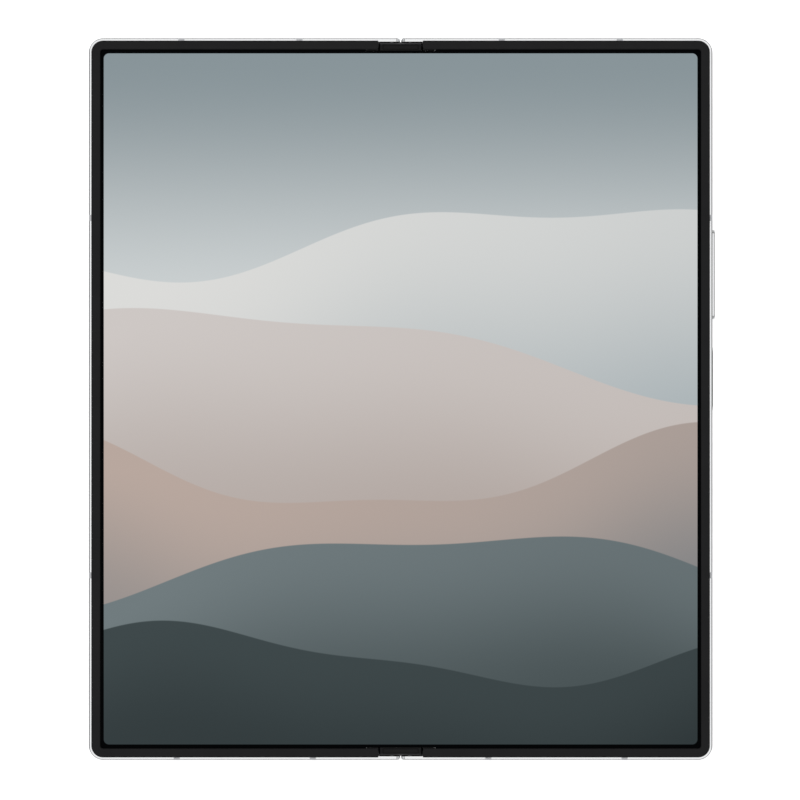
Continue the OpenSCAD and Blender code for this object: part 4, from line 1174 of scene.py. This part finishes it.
class PHONE_OT_sound_meshes(bpy.types.Operator):
    """Adds the woven meshes behind both rows of sound holes"""

    bl_idname = "phone.sound_meshes"
    bl_label = "Make Sound Meshes"

    def execute(self, context):
        wall, half_width, half_height = 2.0 * MM, 7.0 * MM, 0.9 * MM
        for name, body, node, speaker, sign in (
            ("upper_sound_mesh", "left_half", "left_frame", "top_speaker", 1),
            ("lower_sound_mesh", "right_half", "right_frame", "bottom_speaker", -1),
        ):
            low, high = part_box(node)
            face = (high.y if sign > 0 else low.y) - sign * wall
            near, far = face - sign * 0.02 * MM, face - sign * 0.08 * MM
            middle = box_middle(speaker).x
            bm = bmesh.new()
            block(
                bm,
                (middle - half_width, near, EDGE_LEVEL - half_height),
                (middle + half_width, far, EDGE_LEVEL + half_height),
            )
            settle(bm, name, body, "module_black", "sound_cloth")
        return {"FINISHED"}


class PHONE_OT_card_contacts(bpy.types.Operator):
    """Adds the contact pads on the two cards"""

    bl_idname = "phone.card_contacts"
    bl_label = "Make Card Contacts"

    def execute(self, context):
        card_width = 8.8 * MM
        half_height = 1.0 * MM
        low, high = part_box("sim_cards")
        bm = bmesh.new()
        for start in (low.x, high.x - card_width):
            for row in range(4):
                for column in range(2):
                    x = start + (1.5 + 3.0 * column) * MM
                    y = (low.y + high.y) / 2 + (row - 1.5) * 2.4 * MM
                    far = (x + 2.7 * MM, y + half_height, high.z + 0.015 * MM)
                    self.round_corners(bm, block(bm, (x, y - half_height, high.z), far))
        settle(bm, "card_contacts", "card_tray", "gear_brass", "contact_gold")
        return {"FINISHED"}

    def round_corners(self, bm, verts):
        """Rounds the upright edges of a pad."""
        edges = {edge for vert in verts for edge in vert.link_edges}
        upright = [edge for edge in edges if abs(edge.verts[0].co.z - edge.verts[1].co.z) > 1e-6]
        radius = 0.3 * MM
        bmesh.ops.bevel(bm, geom=upright, offset=radius, segments=3, profile=0.5, affect="EDGES", material=-1)


class PHONE_OT_stage(bpy.types.Operator):
    """Makes the floor, the light and the camera"""

    bl_idname = "phone.stage"
    bl_label = "Make Stage"

    def execute(self, context):
        look = context.scene.stage_look
        self.floor(look)
        self.room(context.scene, look)
        self.softbox(look)
        self.camera(context.scene, look)
        context.scene.view_settings.view_transform = "Standard"
        return {"FINISHED"}

    def floor(self, look):
        """A pale floor that glows a little, and can be seen through from below."""
        material = bpy.data.materials.new("Pale floor")
        material.use_nodes = True
        tree = material.node_tree
        tree.nodes.clear()
        matt = add_node(tree, "BsdfDiffuse", Color=(*look.floor_color, 1.0))
        glow = add_node(tree, "Emission", Color=(1, 1, 1, 1), Strength=self.floor_glow(tree))
        both = add_node(tree, "AddShader")
        plug(both.inputs[0], matt.outputs[0])
        plug(both.inputs[1], glow.outputs[0])
        clear = add_node(tree, "BsdfTransparent")
        side = add_node(tree, "NewGeometry").outputs["Backfacing"]
        mix = add_node(tree, "MixShader")
        for index, socket in enumerate((side, both.outputs[0], clear.outputs[0])):
            plug(mix.inputs[index], socket)
        out = add_node(tree, "OutputMaterial")
        plug(out.inputs["Surface"], mix.outputs[0])
        bm = bmesh.new()
        just_below = Matrix.Translation((0, 0, -0.05 * MM))
        bmesh.ops.create_grid(bm, x_segments=1, y_segments=1, size=3.0, matrix=just_below)
        mesh_object(bm, "floor", material)

    def floor_glow(self, tree):
        """Strength that turns the lit floor white for the camera and through glass, and pale in glosses."""
        path = add_node(tree, "LightPath").outputs
        clear = calc("MAXIMUM", path["Is Camera Ray"], path["Is Transmission Ray"])
        glow = calc("MULTIPLY_ADD", clear, 0.65, 0.1)
        return calc("MAXIMUM", glow, times(path["Is Glossy Ray"], 0.12))

    def room(self, scene, look):
        """Even light, white for the camera, with bright and dark bands that only glosses show."""
        world = bpy.data.worlds.new("Room")
        scene.world = world
        world.use_nodes = True
        tree = world.node_tree
        back = tree.nodes["Background"]
        path = add_node(tree, "LightPath").outputs
        through = calc("MAXIMUM", path["Is Camera Ray"], path["Is Transmission Ray"])
        direction = axes(tree, add_node(tree, "TexCoord").outputs["Generated"])
        band = add_node(tree, "ValToRGB")
        ramp = band.color_ramp
        ramp.elements[0].position, ramp.elements[0].color = 0.0, (0.2, 0.2, 0.2, 1)
        ramp.elements[1].position, ramp.elements[1].color = 1.0, (1, 1, 1, 1)
        for position, level in ((0.35, 0.45), (0.47, 0.95), (0.54, 0.3), (0.8, 0.3), (0.93, 0.97)):
            ramp.elements.new(position).color = (level, level, level, 1)
        plug(band.inputs[0], calc("MULTIPLY_ADD", direction["Z"], 0.5, 0.5))
        gloss = blend_colors(path["Is Glossy Ray"], (look.room_light,) * 3 + (1.0,), band.outputs[0])
        plug(back.inputs["Color"], blend_colors(through, gloss, (1, 1, 1, 1)))
        back.inputs["Strength"].default_value = 1.0

    def softbox(self, look):
        """A square lamp over the phone's upper left, hidden from the camera and from glosses."""
        lamp = bpy.data.lights.new("softbox", "AREA")
        lamp.shape = "SQUARE"
        lamp.size = 1.2
        lamp.energy = look.softbox_power
        softbox = place("softbox", lamp)
        softbox.location = (-0.25, 0.5, 1.3)
        softbox.rotation_mode = "QUATERNION"
        softbox.rotation_quaternion = (-Vector(softbox.location)).to_track_quat("-Z", "Y")
        softbox.visible_camera = False
        softbox.visible_glossy = False

    def camera(self, scene, look):
        """A long lens straight over the phone, moved sideways to frame it as the photo does."""
        data = bpy.data.cameras.new("camera")
        data.lens = look.focal_length
        data.sensor_width = 36.0
        camera = place("camera", data)
        camera.location = (-0.13 * MM, -0.21 * MM, RIM_TOP + look.camera_height)
        scene.camera = camera


OPERATORS = (
    PHONE_OT_finishes,
    PHONE_OT_fold_sheets,
    PHONE_OT_soft_edges,
    PHONE_OT_smooth_frames,
    PHONE_OT_lenses,
    PHONE_OT_key_corners,
    PHONE_OT_gap_shade_fills,
    PHONE_OT_port_contacts,
    PHONE_OT_sound_meshes,
    PHONE_OT_card_contacts,
    PHONE_OT_stage,
)


class PHONE_PT_panel(bpy.types.Panel):
    """Lists the steps that finish the phone"""

    bl_label = "Foldable Phone"
    bl_space_type = "VIEW_3D"
    bl_region_type = "UI"
    bl_category = "Phone"

    def draw(self, context):
        layout = self.layout
        for group in (context.scene.phone_look, context.scene.stage_look):
            box = layout.box()
            for name in group.__annotations__:
                box.prop(group, name)
        for operator in OPERATORS:
            layout.operator(operator.bl_idname)


CLASSES = (PhoneLook, StageLook, *OPERATORS, PHONE_PT_panel)


def register():
    for item in CLASSES:
        bpy.utils.register_class(item)
    bpy.types.Scene.phone_look = bpy.props.PointerProperty(type=PhoneLook)
    bpy.types.Scene.stage_look = bpy.props.PointerProperty(type=StageLook)


def unregister():
    del bpy.types.Scene.stage_look
    del bpy.types.Scene.phone_look
    for item in reversed(CLASSES):
        bpy.utils.unregister_class(item)


def main():
    register()
    for operator in OPERATORS:
        group, name = operator.bl_idname.split(".")
        getattr(getattr(bpy.ops, group), name)()


if __name__ == "__main__":
    main()
